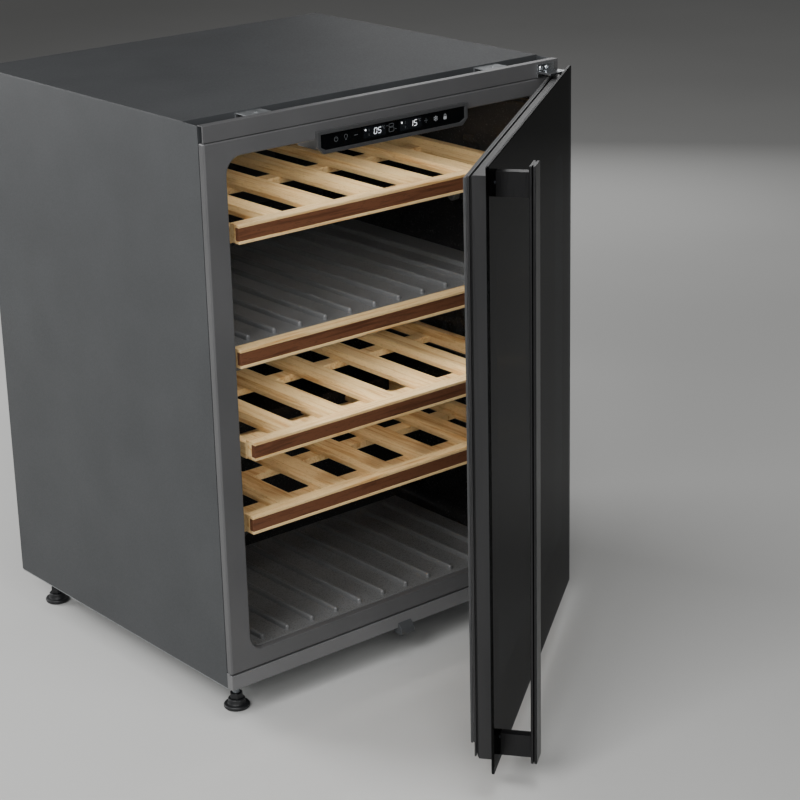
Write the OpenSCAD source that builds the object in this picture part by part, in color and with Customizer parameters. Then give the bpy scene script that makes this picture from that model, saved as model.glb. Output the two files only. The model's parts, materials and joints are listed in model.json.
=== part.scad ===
// Built-under two-zone wine cooler with a glass door that stands ajar.
// X runs along the front, +Y into the cabinet, +Z up. The floor is z = 0 and x = 0 is the cabinet's middle.
// Inside the modules y = 0 is the cabinet's front plane; in_cabinet() then centres the whole on y = 0.

/* [Cabinet] */
// Width of the cabinet
cab_w = 596; // [590:1:600]
// Height from the floor to the cabinet's top
cab_h = 818; // [816:1:830]
// Depth from the front plane to the back panel
cab_d = 545; // [540:1:560]
// Thickness of the steel skins
skin = 1; // [0.8:0.1:1.2]
// Height of the base pan's upper face above the floor
base_z = 52; // [48:1:54]
// Depth of the machine room behind the lower bottles
machine_d = 190; // [180:1:200]
// Height of the machine room's ceiling above the floor
machine_top = 258; // [250:1:262]

/* [Front] */
// Width of the front frame beside the opening
frame_side = 33; // [32:0.5:34]
// Thickness of the front frame
frame_t = 12; // [10:1:12]
// Bottom of the opening
open_z0 = 99; // [98:1:102]
// Top of the opening
open_z1 = 773; // [772:1:774]
// Corner radius of the opening
open_r = 24; // [18:1:26]
// Height of the seam under the top trim
seam_z = 796; // [795:0.5:797]
// Height of the groove above the kick strip
groove_z = 74; // [73:0.5:75]

/* [Door] */
// Angle at which the door stands ajar
door_angle = 37; // [20:1:40]
// Distance of the hinge axis in from the cabinet's side
hinge_in = 11; // [10:0.5:12]
// Distance of the hinge axis in front of the cabinet
hinge_out = 22.5; // [22:0.25:23]
// Width of the front glass
glass_w = 594; // [590:1:594]
// Thickness of each glass pane
glass_t = 4; // [4:0.5:5]
// Bottom of the front glass
glass_z0 = 39; // [38:1:42]
// Top of the front glass
glass_z1 = 812; // [808:1:814]
// Front face of the front glass, in front of the cabinet
door_front = 32; // [31:0.5:32]
// Bottom of the door frame
body_z0 = 59; // [58.5:0.5:60]
// Top of the door frame
body_z1 = 801; // [800:0.5:802]
// Width of the door frame's bars
bar_w = 39.5; // [38:0.5:41]

/* [Handle] */
// Width of the handle bar
grip_w = 30; // [26:1:34]
// Distance of the handle bar from the free edge
grip_in = 32; // [28:1:36]
// Finger gap between the glass and the handle bar
grip_gap = 40; // [34:1:42]
// Thickness of the inner half of the handle bar
grip_inner_t = 3.5; // [3:0.5:5]
// Thickness of the outer half of the handle bar
grip_outer_t = 3.5; // [3:0.5:5]
// Width of the groove between the two halves
grip_groove = 1; // [0.8:0.1:2]
// Bottom and top of the handle bar
grip_z0 = 41; // [40:1:43]
grip_z1 = 806; // [800:1:810]

/* [Shelves] */
// Half the width of a sliding shelf
shelf_half = 250; // [246:1:250]
// Height of a shelf's front trim
trim_h = 25; // [24:1:26]
// Depth of a shelf's front trim
trim_d = 20; // [18:1:22]
// Bottom of the upper shelf's trim
upper_z = 659; // [655:1:662]
// Bottom of the middle shelf's trim
middle_z = 371; // [369:1:374]
// Bottom of the lower shelf's trim
lower_z = 264; // [263:1:268]
// How far the middle shelf stands forward of the others
middle_out = 12; // [0:1:12]
// Distance between bottle places
bottle_pitch = 85; // [84:0.5:86]
// Width of a deck slat
slat_w = 38; // [34:1:42]

/* [Hidden] */
$fn = 48;
hx = cab_w / 2 - hinge_in;
hy = -hinge_out;
half_w = cab_w / 2;
open_half = half_w - frame_side;
machine_y = cab_d - machine_d;
fit = 0.2;                      // small gap between pieces that stay put
run = 0.3;                      // gap between pieces that slide on each other
liner_t = 1.5;
liner_half = open_half;
liner_z0 = 83;
liner_z1 = open_z1 + 2;
liner_r = open_r + 2;
liner_y1 = 500;
step_y = 320;                   // the liner's step over the machine room
step_z = 288;
tray_z = liner_z0 + 2.5;        // upper face of the floor tray
divider_z0 = 488;
divider_z1 = 515;
rib_w = 7;
rib_h = 7;
shelf_y = 2;                    // front of a shelf that is pushed in
deck_y1 = 450;
low_deck_y1 = 312;              // the lower deck stops short of the liner's step
rail_w = 12;                    // a deck's side rail
lip = 4;                        // height of a trim's lips
slat_h = 12;
cross_h = 10;
panel_half = 126.5;             // control panel
panel_z0 = 754;
panel_z1 = 784;
duct_y0 = 466;
upper_fan = [-60, 0, 652];
lower_fan = [-60, 0, 400];
fan_r = 41;
fan_box = 92;
chill_x = -90;                  // the condenser fan's frame
chill_y = 450;
chill_z = 142;
chill_r = 64;
comp_x = 150;
comp_y = 450;
comp_r = 58;
foot_x = 262;
foot_ys = [45, 510];
foot_r = 18;
stud_r = 5;
bracket_x = 200;
bracket_y = 26;
glass_y1 = -door_front + glass_t;         // back of the front glass
body_half = half_w - 2.5;
body_y1 = -6.5;                           // back of the door frame's rear flange
step_y0 = -10;                            // a narrow groove runs round between frame and flange
step_y1 = -8.5;
inner_half = body_half - bar_w;
inner_y1 = -13;                           // back of the inner glass
pin_r = 3;
bush_r = 5;
bush_depth = 14;
plate_gap = 2;                            // between the door frame and a hinge plate
plate_t = 3;
grip_x0 = -glass_w / 2 + grip_in;
grip_t = grip_inner_t + grip_groove + grip_outer_t;
grip_y0 = -door_front - grip_gap - grip_t;
block_z = 30;
block_w = 12;
block_x = grip_x0 + (grip_w - block_w) / 2;
block_bottoms = [45, 767];
screw_heights = [67, 782];

// The handle's outer corner is the point furthest forward when the door stands ajar.
front_most = hy + (grip_x0 - hx) * sin(door_angle) + (grip_y0 - hy) * cos(door_angle);
y_shift = -(cab_d + front_most) / 2;

// ---- placing and drawing helpers ----

module in_cabinet() translate([0, y_shift, 0]) children();

module on_door()
    in_cabinet() translate([hx, hy, 0]) rotate([0, 0, door_angle]) translate([-hx, -hy, 0]) children();

module box(x0, x1, y0, y1, z0, z1) translate([x0, y0, z0]) cube([x1 - x0, y1 - y0, z1 - z0]);

// A drawing in x and z, extruded from y0 to y1.
module along_y(y0, y1) translate([0, y1, 0]) rotate([90, 0, 0]) linear_extrude(y1 - y0) children();

// A drawing in y and z, extruded from x0 to x1.
module along_x(x0, x1) translate([x0, 0, 0]) rotate([90, 0, 90]) linear_extrude(x1 - x0) children();

module rounded(half, z0, z1, r) {
    translate([-half + r, z0]) square([2 * (half - r), z1 - z0]);
    translate([-half, z0 + r]) square([2 * half, z1 - z0 - 2 * r]);
    for (x = [-half + r, half - r], z = [z0 + r, z1 - r]) translate([x, z]) circle(r);
}

// A rectangular ring in x and z, with bars of width bar.
module ring(half, z0, z1, bar, y0, y1)
    difference() {
        box(-half, half, y0, y1, z0, z1);
        box(-half + bar, half - bar, y0 - 1, y1 + 1, z0 + bar, z1 - bar);
    }

module rod(p, q, r) {
    d = q - p;
    translate(p) rotate([0, acos(d[2] / norm(d)), atan2(d[1], d[0])]) cylinder(r = r, h = norm(d));
}

// Straight lengths with a slightly swollen brazed joint at each corner.
module pipe(points, r) {
    for (i = [0:len(points) - 2]) rod(points[i], points[i + 1], r);
    for (i = [1:len(points) - 2]) translate(points[i]) sphere(r + 0.8);
}

module mirrored() {
    children();
    mirror([1, 0, 0]) children();
}

// ---- cabinet ----

module side_panel() {
    box(half_w - skin, half_w, frame_t, cab_d, base_z, cab_h - skin);
    box(half_w - 12, half_w - skin, frame_t, frame_t + skin, base_z, cab_h - skin);
    box(half_w - 12, half_w - skin, cab_d - skin, cab_d, base_z, machine_top - skin);
}

module side_panel_left() color("#3a3c3e") in_cabinet() mirror([1, 0, 0]) side_panel();

module side_panel_right() color("#3a3c3e") in_cabinet() side_panel();

// A bent sheet: the top, a down-turn and the floor of the channel that holds the worktop brackets.
module top_panel()
    color("#3a3c3e") in_cabinet() {
        box(-half_w, half_w, 42, cab_d, cab_h - skin, cab_h);
        box(-half_w + skin, half_w - skin, 42, 42 + skin, seam_z, cab_h - skin);
        box(-half_w + 12, half_w - 12, frame_t, 42, seam_z, seam_z + skin);
    }

module back_panel()
    color("#8c8f92") in_cabinet() difference() {
        box(-half_w + skin, half_w - skin, cab_d - skin, cab_d, machine_top - skin, cab_h - skin);
        for (i = [-5:5]) box(i * 40 - 13, i * 40 + 13, cab_d - 2, cab_d + 1, cab_h - 22, cab_h - 18);
    }

module base_pan()
    color("#6f7376") in_cabinet() difference() {
        union() {
            box(-half_w + skin, half_w - skin, frame_t + skin, cab_d - skin, base_z - 2, base_z);
            box(-half_w + skin, half_w - skin, machine_y - skin, machine_y, base_z, machine_top);
            box(-half_w + skin, half_w - skin, machine_y, cab_d - skin, machine_top - 2 * skin,
                machine_top - skin);
            for (x = [-foot_x, foot_x], y = foot_ys)
                translate([x, y, base_z - 2]) cylinder(r = 9, h = 14);
        }
        for (x = [-foot_x, foot_x], y = foot_ys)
            translate([x, y, base_z - 3]) cylinder(r = stud_r + 0.05, h = 16);
        for (i = [0:9]) box(-250 + i * 22, -238 + i * 22, 380, 520, base_z - 3, base_z + 1);
    }

module cavity(grow, y1)
    difference() {
        along_y(frame_t, y1) rounded(liner_half + grow, liner_z0 - grow, liner_z1 + grow, liner_r + grow);
        box(-half_w, half_w, step_y + grow, cab_d, 0, step_z - grow);
    }

module insulation_foam()
    color("#d8cfae") in_cabinet() difference() {
        along_x(-half_w + skin + fit, half_w - skin - fit) polygon([
            [frame_t + skin + fit, base_z + fit], [machine_y - skin - fit, base_z + fit],
            [machine_y - skin - fit, machine_top + fit], [cab_d - skin - fit, machine_top + fit],
            [cab_d - skin - fit, cab_h - skin - fit], [42 + skin + fit, cab_h - skin - fit],
            [42 + skin + fit, seam_z - fit], [frame_t + skin + fit, seam_z - fit]]);
        cavity(liner_t + fit, liner_y1 + liner_t + fit);
        for (x = [-foot_x, foot_x]) translate([x, foot_ys[0], 0]) cylinder(r = 10, h = 72);
    }

module inner_liner()
    color("#17181a") in_cabinet() difference() {
        cavity(liner_t, liner_y1 + liner_t);
        translate([0, -1, 0]) along_y(frame_t, frame_t + 2)
            rounded(liner_half, liner_z0, liner_z1, liner_r);
        cavity(0, liner_y1);
    }

module floor_rib(x, y0, y1, z) {
    box(x - rib_w / 2, x + rib_w / 2, y0, y1, z - 0.5, z + rib_h - rib_w / 2);
    translate([x, y0, z + rib_h - rib_w / 2]) rotate([-90, 0, 0]) cylinder(r = rib_w / 2, h = y1 - y0);
    translate([x, y0, z - 0.5]) cylinder(r = rib_w / 2, h = rib_h - rib_w / 2 + 0.5);
    translate([x, y0, z + rib_h - rib_w / 2]) sphere(rib_w / 2);
}

// The sunken floor with its sloping sill, ribs between the bottles and a short cross rib at each side.
module floor_tray()
    color("#5c5f62") in_cabinet() {
        intersection() {
            along_x(-half_w, half_w) polygon([[frame_t, liner_z0], [frame_t, open_z0], [frame_t + 2, open_z0],
                [frame_t + 16, tray_z], [step_y - fit, tray_z], [step_y - fit, liner_z0]]);
            along_y(frame_t, step_y) rounded(liner_half - fit, liner_z0, liner_z1, liner_r - fit);
        }
        for (i = [-5:5]) floor_rib(i * bottle_pitch / 2, 48, 305, tray_z);
        mirrored() box(232, 248, 36, 36 + rib_w, tray_z - 0.5, tray_z + rib_h - 2);
    }

module front_frame()
    color("#5a5c5e") in_cabinet() along_y(0, frame_t) difference() {
        translate([-half_w, groove_z + 1]) square([cab_w, seam_z - 0.4 - groove_z - 1]);
        rounded(open_half, open_z0, open_z1, open_r);
    }

// A cover strip that clips over the fixing channel.
module top_trim()
    color("#5a5c5e") in_cabinet() {
        box(-half_w, half_w, 0, 3, seam_z + 0.4, cab_h);
        box(-half_w, half_w, 3, frame_t, cab_h - 1.5, cab_h);
    }

module kick_strip()
    color("#67696b") in_cabinet() {
        box(-half_w, half_w, 0, frame_t, base_z, groove_z - 1);
        box(-half_w, half_w, 5, frame_t, groove_z - 1, groove_z + 1);
    }

module door_stop_block()
    color("#3f4143") in_cabinet() along_x(-12, 12)
        polygon([[-8, 43], [-8, 52], [0, 60], [0, base_z], [10, base_z], [10, 43]]);

module bracket_plate() {
    difference() {
        box(bracket_x - 20, bracket_x + 20, 14, 42, cab_h - 3, cab_h - 1.5);
        translate([bracket_x, bracket_y, cab_h - 4]) cylinder(r = 2.75, h = 4);
    }
    box(bracket_x - 20, bracket_x + 20, 40.5, 42, seam_z + skin, cab_h - 3);
}

module worktop_brackets() color("#b9bcbf") in_cabinet() mirrored() bracket_plate();

// ---- controls, light and probes ----

module panel_outline(inset) {
    half = panel_half - inset;
    cut = 9;
    polygon([[-half, panel_z1 - inset], [-half, panel_z0 + cut], [-half + cut, panel_z0 + inset],
        [half - cut, panel_z0 + inset], [half, panel_z0 + cut], [half, panel_z1 - inset]]);
}

module control_bezel()
    color("#4a4c4e") in_cabinet() difference() {
        union() {
            along_y(-6, 0) panel_outline(0);
            box(-116, 116, 0, 52, 756, open_z1 - fit);
        }
        along_y(-7, -2) panel_outline(4.5);
        box(-112, 112, 3, 50, 758, 771);
    }

module control_glass() color("#0a0b0d") in_cabinet() along_y(-4, -2) panel_outline(4.5 + fit);

module control_board() color("#1f5a38") in_cabinet() box(-100, 100, 5, 6.6, 759, 770);

module light_bar(y, z) {
    box(-180, 180, y, y + 14, z, z + 3);
    box(-176, 176, y + 2, y + 12, z - 4, z);
}

module light_bars()
    color("#e9edf0") in_cabinet() {
        light_bar(58, liner_z1 - 3);
        light_bar(40, divider_z0 - 3);
    }

module temperature_probe(z) {
    translate([liner_half - 9, 180, z]) rotate([0, 90, 0]) cylinder(r = 9, h = 9);
    translate([liner_half - 12, 180, z]) rotate([0, 90, 0]) cylinder(r = 5, h = 3);
}

module temperature_probes()
    color("#d5d7d9") in_cabinet() {
        temperature_probe(600);
        temperature_probe(330);
    }

// ---- shelving ----

module zone_divider()
    color("#5c5f62") in_cabinet() {
        box(-liner_half + fit, liner_half - fit, trim_d, duct_y0 - 2, divider_z0, divider_z1);
        for (i = [-5:5]) floor_rib(i * bottle_pitch / 2, 48, 440, divider_z1);
    }

// The trim is a channel that opens to the front and holds the inlay between its two lips.
module trim_channel(half, y, z)
    along_x(-half, half) polygon([[y, z], [y + trim_d, z], [y + trim_d, z + trim_h], [y, z + trim_h],
        [y, z + trim_h - lip], [y + 8, z + trim_h - lip], [y + 8, z + lip], [y, z + lip]]);

module trim_inlay(half, y, z) box(-half, half, y + 0.6, y + 8, z + lip, z + trim_h - lip);

module slat(x, y, z, end)
    along_y(y + trim_d, y + end) translate([x, z]) polygon([[-slat_w / 2, 0], [-slat_w / 2, slat_h - 6],
        [-slat_w / 2 + 5, slat_h], [slat_w / 2 - 5, slat_h], [slat_w / 2, slat_h - 6], [slat_w / 2, 0]]);

module shelf_deck(y, z, end) {
    for (i = [-2:2]) slat(i * bottle_pitch, y, z + cross_h - 2, end);
    for (at = [50, end / 2, end - 30])
        box(-shelf_half + rail_w, shelf_half - rail_w, y + at, y + at + 22, z - 2, z + cross_h - 2);
    mirrored() box(shelf_half - rail_w, shelf_half, y + trim_d, y + end, z - 2, z + trim_h - 5);
}

module upper_shelf_trim() color("#dcb98a") in_cabinet() trim_channel(shelf_half, shelf_y, upper_z);

module upper_shelf_inlay() color("#5e3d2a") in_cabinet() trim_inlay(shelf_half, shelf_y, upper_z);

module upper_shelf_deck() color("#e2c394") in_cabinet() shelf_deck(shelf_y, upper_z, deck_y1);

module middle_shelf_trim()
    color("#dcb98a") in_cabinet() trim_channel(shelf_half, shelf_y - middle_out, middle_z);

module middle_shelf_inlay()
    color("#5e3d2a") in_cabinet() trim_inlay(shelf_half, shelf_y - middle_out, middle_z);

module middle_shelf_deck()
    color("#e2c394") in_cabinet() shelf_deck(shelf_y - middle_out, middle_z, deck_y1);

module lower_shelf_trim() color("#dcb98a") in_cabinet() trim_channel(shelf_half, shelf_y, lower_z);

module lower_shelf_inlay() color("#5e3d2a") in_cabinet() trim_inlay(shelf_half, shelf_y, lower_z);

module lower_shelf_deck() color("#e2c394") in_cabinet() shelf_deck(shelf_y, lower_z, low_deck_y1);

module divider_trim() color("#dcb98a") in_cabinet() trim_channel(258, 0, 496.5);

module divider_inlay() color("#5e3d2a") in_cabinet() trim_inlay(258, 0, 496.5);

// Ledges on the liner's side walls, one pair under each shelf's side rails.
module shelf_runner(z, end)
    along_y(24, end + 4) polygon([[liner_half, z - 14], [liner_half, z - 2 - run],
        [shelf_half - 8, z - 2 - run], [shelf_half - 8, z - 6]]);

module shelf_runners()
    color("#2a2c2e") in_cabinet() mirrored() {
        shelf_runner(upper_z, deck_y1);
        shelf_runner(middle_z, deck_y1);
        shelf_runner(lower_z, low_deck_y1);
    }

// ---- air and cooling ----

module duct_cover(fan, z0, z1)
    difference() {
        box(-150, 150, duct_y0, liner_y1, z0, z1);
        box(-148, 148, duct_y0 + 2, liner_y1 + 1, z0 + 2, z1 - 2);
        for (i = [-4:4]) {
            reach = sqrt(fan_r * fan_r - 81 * i * i);
            box(fan[0] - reach, fan[0] + reach, duct_y0 - 1, duct_y0 + 3, fan[2] + i * 9 - 2.5,
                fan[2] + i * 9 + 2.5);
        }
        for (i = [-5:5]) box(i * 25 - 9, i * 25 + 9, duct_y0 - 1, duct_y0 + 3, z1 - 16, z1 - 11);
    }

module duct_covers()
    color("#1c1d20") in_cabinet() difference() {
        union() {
            duct_cover(upper_fan, 560, 750);
            duct_cover(lower_fan, 310, 476);
        }
        translate([90, duct_y0 - 1, 652]) rotate([-90, 0, 0]) cylinder(r = 28 + fit, h = 4);
    }

module carbon_filter()
    color("#2e3033") in_cabinet() translate([90, duct_y0 - 2, 652]) rotate([-90, 0, 0]) {
        cylinder(r = 28, h = 12);
        cylinder(r = 32, h = 2);
    }

module evaporator(z0, z1) {
    box(-140, 140, 496, 498, z0, z1);
    for (i = [0:5]) {
        z = z0 + 15 + i * (z1 - z0 - 30) / 5;
        translate([-125, 494.5, z]) rotate([0, 90, 0]) cylinder(r = 2.2, h = 250);
    }
}

module evaporators()
    color("#c3c8cc") in_cabinet() {
        evaporator(572, 738);
        evaporator(322, 464);
    }

// A square fan frame around its axis, which runs along +Y from the air side. A cross of bars holds the hub.
module fan_frame(size, r, depth)
    difference() {
        union() {
            difference() {
                translate([-size / 2, 0, -size / 2]) cube([size, depth, size]);
                translate([0, -1, 0]) rotate([-90, 0, 0]) cylinder(r = r + 2, h = depth + 2);
            }
            translate([0, depth - 5, 0]) rotate([-90, 0, 0]) cylinder(r = 14, h = 4);
            translate([-size / 2 + 1, depth - 4.5, -3]) cube([size - 2, 3, 6]);
            translate([-3, depth - 4.5, -size / 2 + 1]) cube([6, 3, size - 2]);
        }
        translate([0, depth - 6, 0]) rotate([-90, 0, 0]) cylinder(r = 2.05, h = 7);
    }

module fan_rotor(r, hub, depth, blades) {
    translate([0, 1, 0]) rotate([-90, 0, 0]) cylinder(r = hub, h = depth - 7);
    translate([0, 1, 0]) rotate([-90, 0, 0]) cylinder(r = 2, h = depth - 2);
    intersection() {
        translate([0, 1, 0]) rotate([-90, 0, 0]) cylinder(r = r, h = depth - 7);
        union() for (i = [0:blades - 1]) rotate([0, i * 360 / blades, 0])
            translate([hub - 2, depth / 2 - 2, 0]) rotate([34, 0, 0])
                translate([0, -1, -r / 2.4]) cube([r, 2, r / 1.2]);
    }
}

module at_fan(centre) translate([centre[0], duct_y0 + 4, centre[2]]) children();

module at_chiller() translate([chill_x + 12, chill_y, chill_z]) rotate([0, 0, 90]) children();

module fan_frames()
    color("#222426") in_cabinet() {
        at_fan(upper_fan) fan_frame(fan_box, fan_r, 18);
        at_fan(lower_fan) fan_frame(fan_box, fan_r, 18);
        at_chiller() fan_frame(150, chill_r, 24);
    }

module upper_fan_rotor() color("#34363a") in_cabinet() at_fan(upper_fan) fan_rotor(fan_r, 15, 18, 7);

module lower_fan_rotor() color("#34363a") in_cabinet() at_fan(lower_fan) fan_rotor(fan_r, 15, 18, 7);

module condenser_fan_rotor() color("#34363a") in_cabinet() at_chiller() fan_rotor(chill_r, 22, 24, 5);

module compressor()
    color("#151617") in_cabinet() translate([comp_x, comp_y, 0]) {
        intersection() {
            union() {
                translate([0, 0, 106]) cylinder(r = comp_r, h = 26);
                translate([0, 0, 106]) sphere(comp_r);
                translate([0, 0, 132]) sphere(comp_r);
            }
            box(-90, 90, -90, 90, 66, 200);
        }
        difference() {
            box(-84, 84, -56, 56, 64, 67);
            for (x = [-74, 74], y = [-46, 46]) translate([x, y, 60]) cylinder(r = 6, h = 10);
        }
        box(-78, -48, -24, 24, 90, 140);
    }

module compressor_mounts()
    color("#26282a") in_cabinet() for (x = [-74, 74], y = [-46, 46])
        translate([comp_x + x, comp_y + y, base_z]) {
            cylinder(r = 10, h = 12);
            cylinder(r = 6 - fit, h = 18);
            translate([0, 0, 15.5]) cylinder(r = 9, h = 2.5);
        }

// Fins across the tubes, and tubes joined at their ends by half-turn bends.
module condenser()
    color("#9aa0a4") in_cabinet() {
        for (i = [0:11]) box(-196, -136, 378 + i * 13, 379.5 + i * 13, 66, 220);
        for (i = [0:5]) translate([-166, 372, 80 + i * 25]) rotate([-90, 0, 0]) cylinder(r = 4, h = 156);
        for (i = [0:4]) {
            rear = i % 2 == 0;
            translate([-166, rear ? 528 : 372, 92.5 + i * 25]) rotate([0, 90, 0])
                rotate([0, 0, rear ? 0 : 180]) rotate_extrude(angle = 180) translate([12.5, 0]) circle(4);
        }
        for (y = [370, 529]) box(-200, -132, y, y + 1.5, base_z, 232);
    }

module drip_tray()
    color("#45484b") in_cabinet() difference() {
        box(92, 208, 392, 508, 194, 214);
        box(94, 206, 394, 506, 196, 215);
    }

module refrigerant_pipework()
    color("#b4703f") in_cabinet() {
        pipe([[205, 430, 170], [240, 430, 190], [240, 380, 235], [-120, 370, 240], [-225, 372, 240],
            [-225, 372, 205], [-175, 366, 205]], 3);
        pipe([[-225, 400, 80], [-225, 500, 80], [-225, 520, 110]], 3);
        translate([-225, 520, 110]) cylinder(r = 9, h = 70);
        pipe([[-225, 520, 180], [-225, 520, 225], [-190, 490, 245]], 2);
    }

// Rear socket for the mains lead, with three blades.
module power_inlet()
    color("#202225") in_cabinet() {
        difference() {
            box(236, 266, 519, cab_d - 1, 60, 84);
            box(240, 262, 528, cab_d + 1, 64, 80);
        }
        for (x = [244.5, 251, 257.5]) box(x - 1, x + 1, 527, 540, 69, 74);
        box(232, 270, 519, 522, base_z, 88);
    }

// ---- feet ----

module foot(x, y)
    color("#1f2123") in_cabinet() translate([x, y, 0]) {
        cylinder(r = foot_r, h = 6);
        cylinder(r = 12, h = 14);
        cylinder(r = stud_r, h = 60);
        translate([0, 0, 14]) cylinder(r = 9.5, h = 8, $fn = 6);
    }

module foot_front_left() foot(-foot_x, foot_ys[0]);

module foot_front_right() foot(foot_x, foot_ys[0]);

module foot_rear_left() foot(-foot_x, foot_ys[1]);

module foot_rear_right() foot(foot_x, foot_ys[1]);

// ---- door ----

module handle_holes(r, y0, y1)
    for (z = screw_heights)
        translate([block_x + block_w / 2, y0, z]) rotate([-90, 0, 0]) cylinder(r = r, h = y1 - y0);

module door_glass()
    color("#0d0f12") on_door() difference() {
        box(-glass_w / 2, glass_w / 2, -door_front, glass_y1, glass_z0, glass_z1);
        handle_holes(2.3, -door_front - 1, glass_y1 + 1);
    }

// A block whose rear edges are chamfered all round.
module chamfered(half, z0, z1, y0, y1, c)
    intersection() {
        along_x(-half, half) polygon([[y0, z0], [y1 - c, z0], [y1, z0 + c], [y1, z1 - c], [y1 - c, z1],
            [y0, z1]]);
        translate([0, 0, z0]) linear_extrude(z1 - z0) polygon([[-half, y0], [half, y0], [half, y1 - c],
            [half - c, y1], [-half + c, y1], [-half, y1 - c]]);
    }

// A bar section with a rear flange, and a shallow pocket over the upper hinge.
module door_frame()
    color("#2a2c2e") on_door() difference() {
        union() {
            chamfered(body_half, body_z0, body_z1, glass_y1, step_y0, 2.5);
            box(-body_half + 5, body_half - 5, step_y0, step_y1, body_z0 + 5, body_z1 - 5);
            box(-body_half + 1.5, body_half - 1.5, step_y1, body_y1, body_z0 + 1.5, body_z1 - 1.5);
        }
        box(-inner_half, inner_half, glass_y1 - 1, body_y1 + 1, body_z0 + bar_w, body_z1 - bar_w);
        box(hx - 38, body_half + 1, glass_y1 + 1, step_y0 - 1.5, body_z1 - 3, body_z1 + 1);
        for (z = [body_z0 - 1, body_z1 - bush_depth]) translate([hx, hy, z])
            cylinder(r = bush_r, h = bush_depth + 1);
        handle_holes(2.3, glass_y1 - 1, body_y1 + 1);
        handle_holes(4.5, -20, body_y1 + 1);
    }

module glass_spacer()
    color("#7d8184") on_door()
        ring(inner_half, body_z0 + bar_w, body_z1 - bar_w, 9, glass_y1, inner_y1 - glass_t);

module door_inner_glass()
    color("#9fb4b8") on_door()
        box(-inner_half, inner_half, inner_y1 - glass_t, inner_y1, body_z0 + bar_w, body_z1 - bar_w);

// A narrow foot that clips to the door frame and a wider bulb that meets the cabinet.
module door_gasket()
    color("#4d5053") on_door() {
        ring(hx - 1, 78, 794.5, 8, body_y1, body_y1 + 1.7);
        ring(hx + 1, 76, 796.5, 12, body_y1 + 1.7, -run);
    }

module handle_bar()
    color("#3a3c3f") on_door() along_z_bar();

// The bar's section: two flat halves joined by a narrower web, so that a groove runs up each side.
module along_z_bar() {
    groove = 5;
    box(grip_x0, grip_x0 + grip_w, grip_y0, grip_y0 + grip_outer_t, grip_z0, grip_z1);
    box(grip_x0 + groove, grip_x0 + grip_w - groove, grip_y0 + grip_outer_t,
        grip_y0 + grip_outer_t + grip_groove, grip_z0, grip_z1);
    box(grip_x0, grip_x0 + grip_w, grip_y0 + grip_outer_t + grip_groove, grip_y0 + grip_t, grip_z0, grip_z1);
}

module handle_blocks()
    color("#3a3c3f") on_door() for (z = block_bottoms) difference() {
        box(block_x, block_x + block_w, -door_front - grip_gap, -door_front, z, z + block_z);
        handle_holes(2.05, -door_front - 20, -door_front + 1);
    }

module handle_screws()
    color("#b5b8ba") on_door() {
        handle_holes(2, -door_front - 19, -20);
        handle_holes(4, -20, -17);
    }

module hinge_bushes()
    color("#0f1011") on_door() for (side = [0, 1]) difference() {
        union() {
            translate([hx, hy, side ? body_z1 - bush_depth : body_z0])
                cylinder(r = bush_r, h = bush_depth);
            translate([hx, hy, side ? body_z1 : body_z0 - 1.5]) cylinder(r = bush_r + 0.2, h = 1.5);
        }
        translate([hx, hy, side ? body_z1 - bush_depth - 1 : body_z0 - 2])
            cylinder(r = pin_r + 0.05, h = bush_depth + 3);
    }

module hinge_pins()
    color("#c9cccf") in_cabinet() {
        translate([hx, hy, body_z1 - 12]) cylinder(r = pin_r, h = 12 + plate_gap + plate_t);
        translate([hx, hy, body_z0 - plate_gap - plate_t]) cylinder(r = pin_r, h = 12 + plate_gap + plate_t);
    }

// A plate over the hinge axis and an upright that screws to the cabinet's front.
module hinge_bracket(plate_z, flange_z0, flange_z1)
    difference() {
        union() {
            box(hx - 29, hx + 2, hy - 4.5, 0, plate_z, plate_z + plate_t);
            translate([hx, hy, plate_z]) cylinder(r = 5, h = plate_t);
            box(hx - 29, hx + 2, -2.5, 0, flange_z0, flange_z1);
        }
        translate([hx, hy, plate_z - 1]) cylinder(r = pin_r, h = plate_t + 2);
        for (x = [hx - 23, hx - 12]) translate([x, 1, screw_z(plate_z)]) rotate([90, 0, 0])
            cylinder(r = 2.1, h = 5);
    }

function screw_z(plate_z) = plate_z > 400 ? plate_z + plate_t + 4 : plate_z + plate_t + 8;

module hinge_brackets()
    color("#a9acaf") in_cabinet() {
        hinge_bracket(body_z1 + plate_gap, body_z1 - 4, body_z1 + 14);
        hinge_bracket(body_z0 - plate_gap - plate_t, body_z0 - plate_gap - plate_t, 73);
    }

module hinge_screws()
    color("#c9cccf") in_cabinet() for (z = [body_z1 + plate_gap, body_z0 - plate_gap - plate_t])
        for (x = [hx - 23, hx - 12]) translate([x, 0, screw_z(z)]) rotate([90, 0, 0]) {
            cylinder(r = 2, h = 2.5);
            translate([0, 0, 2.5]) cylinder(r = 3.2, h = 1.8);
        }

side_panel_left();
side_panel_right();
top_panel();
back_panel();
base_pan();
insulation_foam();
inner_liner();
floor_tray();
front_frame();
top_trim();
kick_strip();
door_stop_block();
control_bezel();
control_glass();
control_board();
light_bars();
zone_divider();
divider_trim();
divider_inlay();
upper_shelf_trim();
upper_shelf_inlay();
upper_shelf_deck();
middle_shelf_trim();
middle_shelf_inlay();
middle_shelf_deck();
lower_shelf_trim();
lower_shelf_inlay();
lower_shelf_deck();
shelf_runners();
duct_covers();
evaporators();
fan_frames();
upper_fan_rotor();
lower_fan_rotor();
carbon_filter();
temperature_probes();
compressor();
compressor_mounts();
condenser();
condenser_fan_rotor();
drip_tray();
refrigerant_pipework();
power_inlet();
worktop_brackets();
foot_front_left();
foot_front_right();
foot_rear_left();
foot_rear_right();
door_glass();
door_frame();
glass_spacer();
door_inner_glass();
door_gasket();
handle_bar();
handle_blocks();
handle_screws();
hinge_brackets();
hinge_pins();
hinge_bushes();
hinge_screws();
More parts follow.
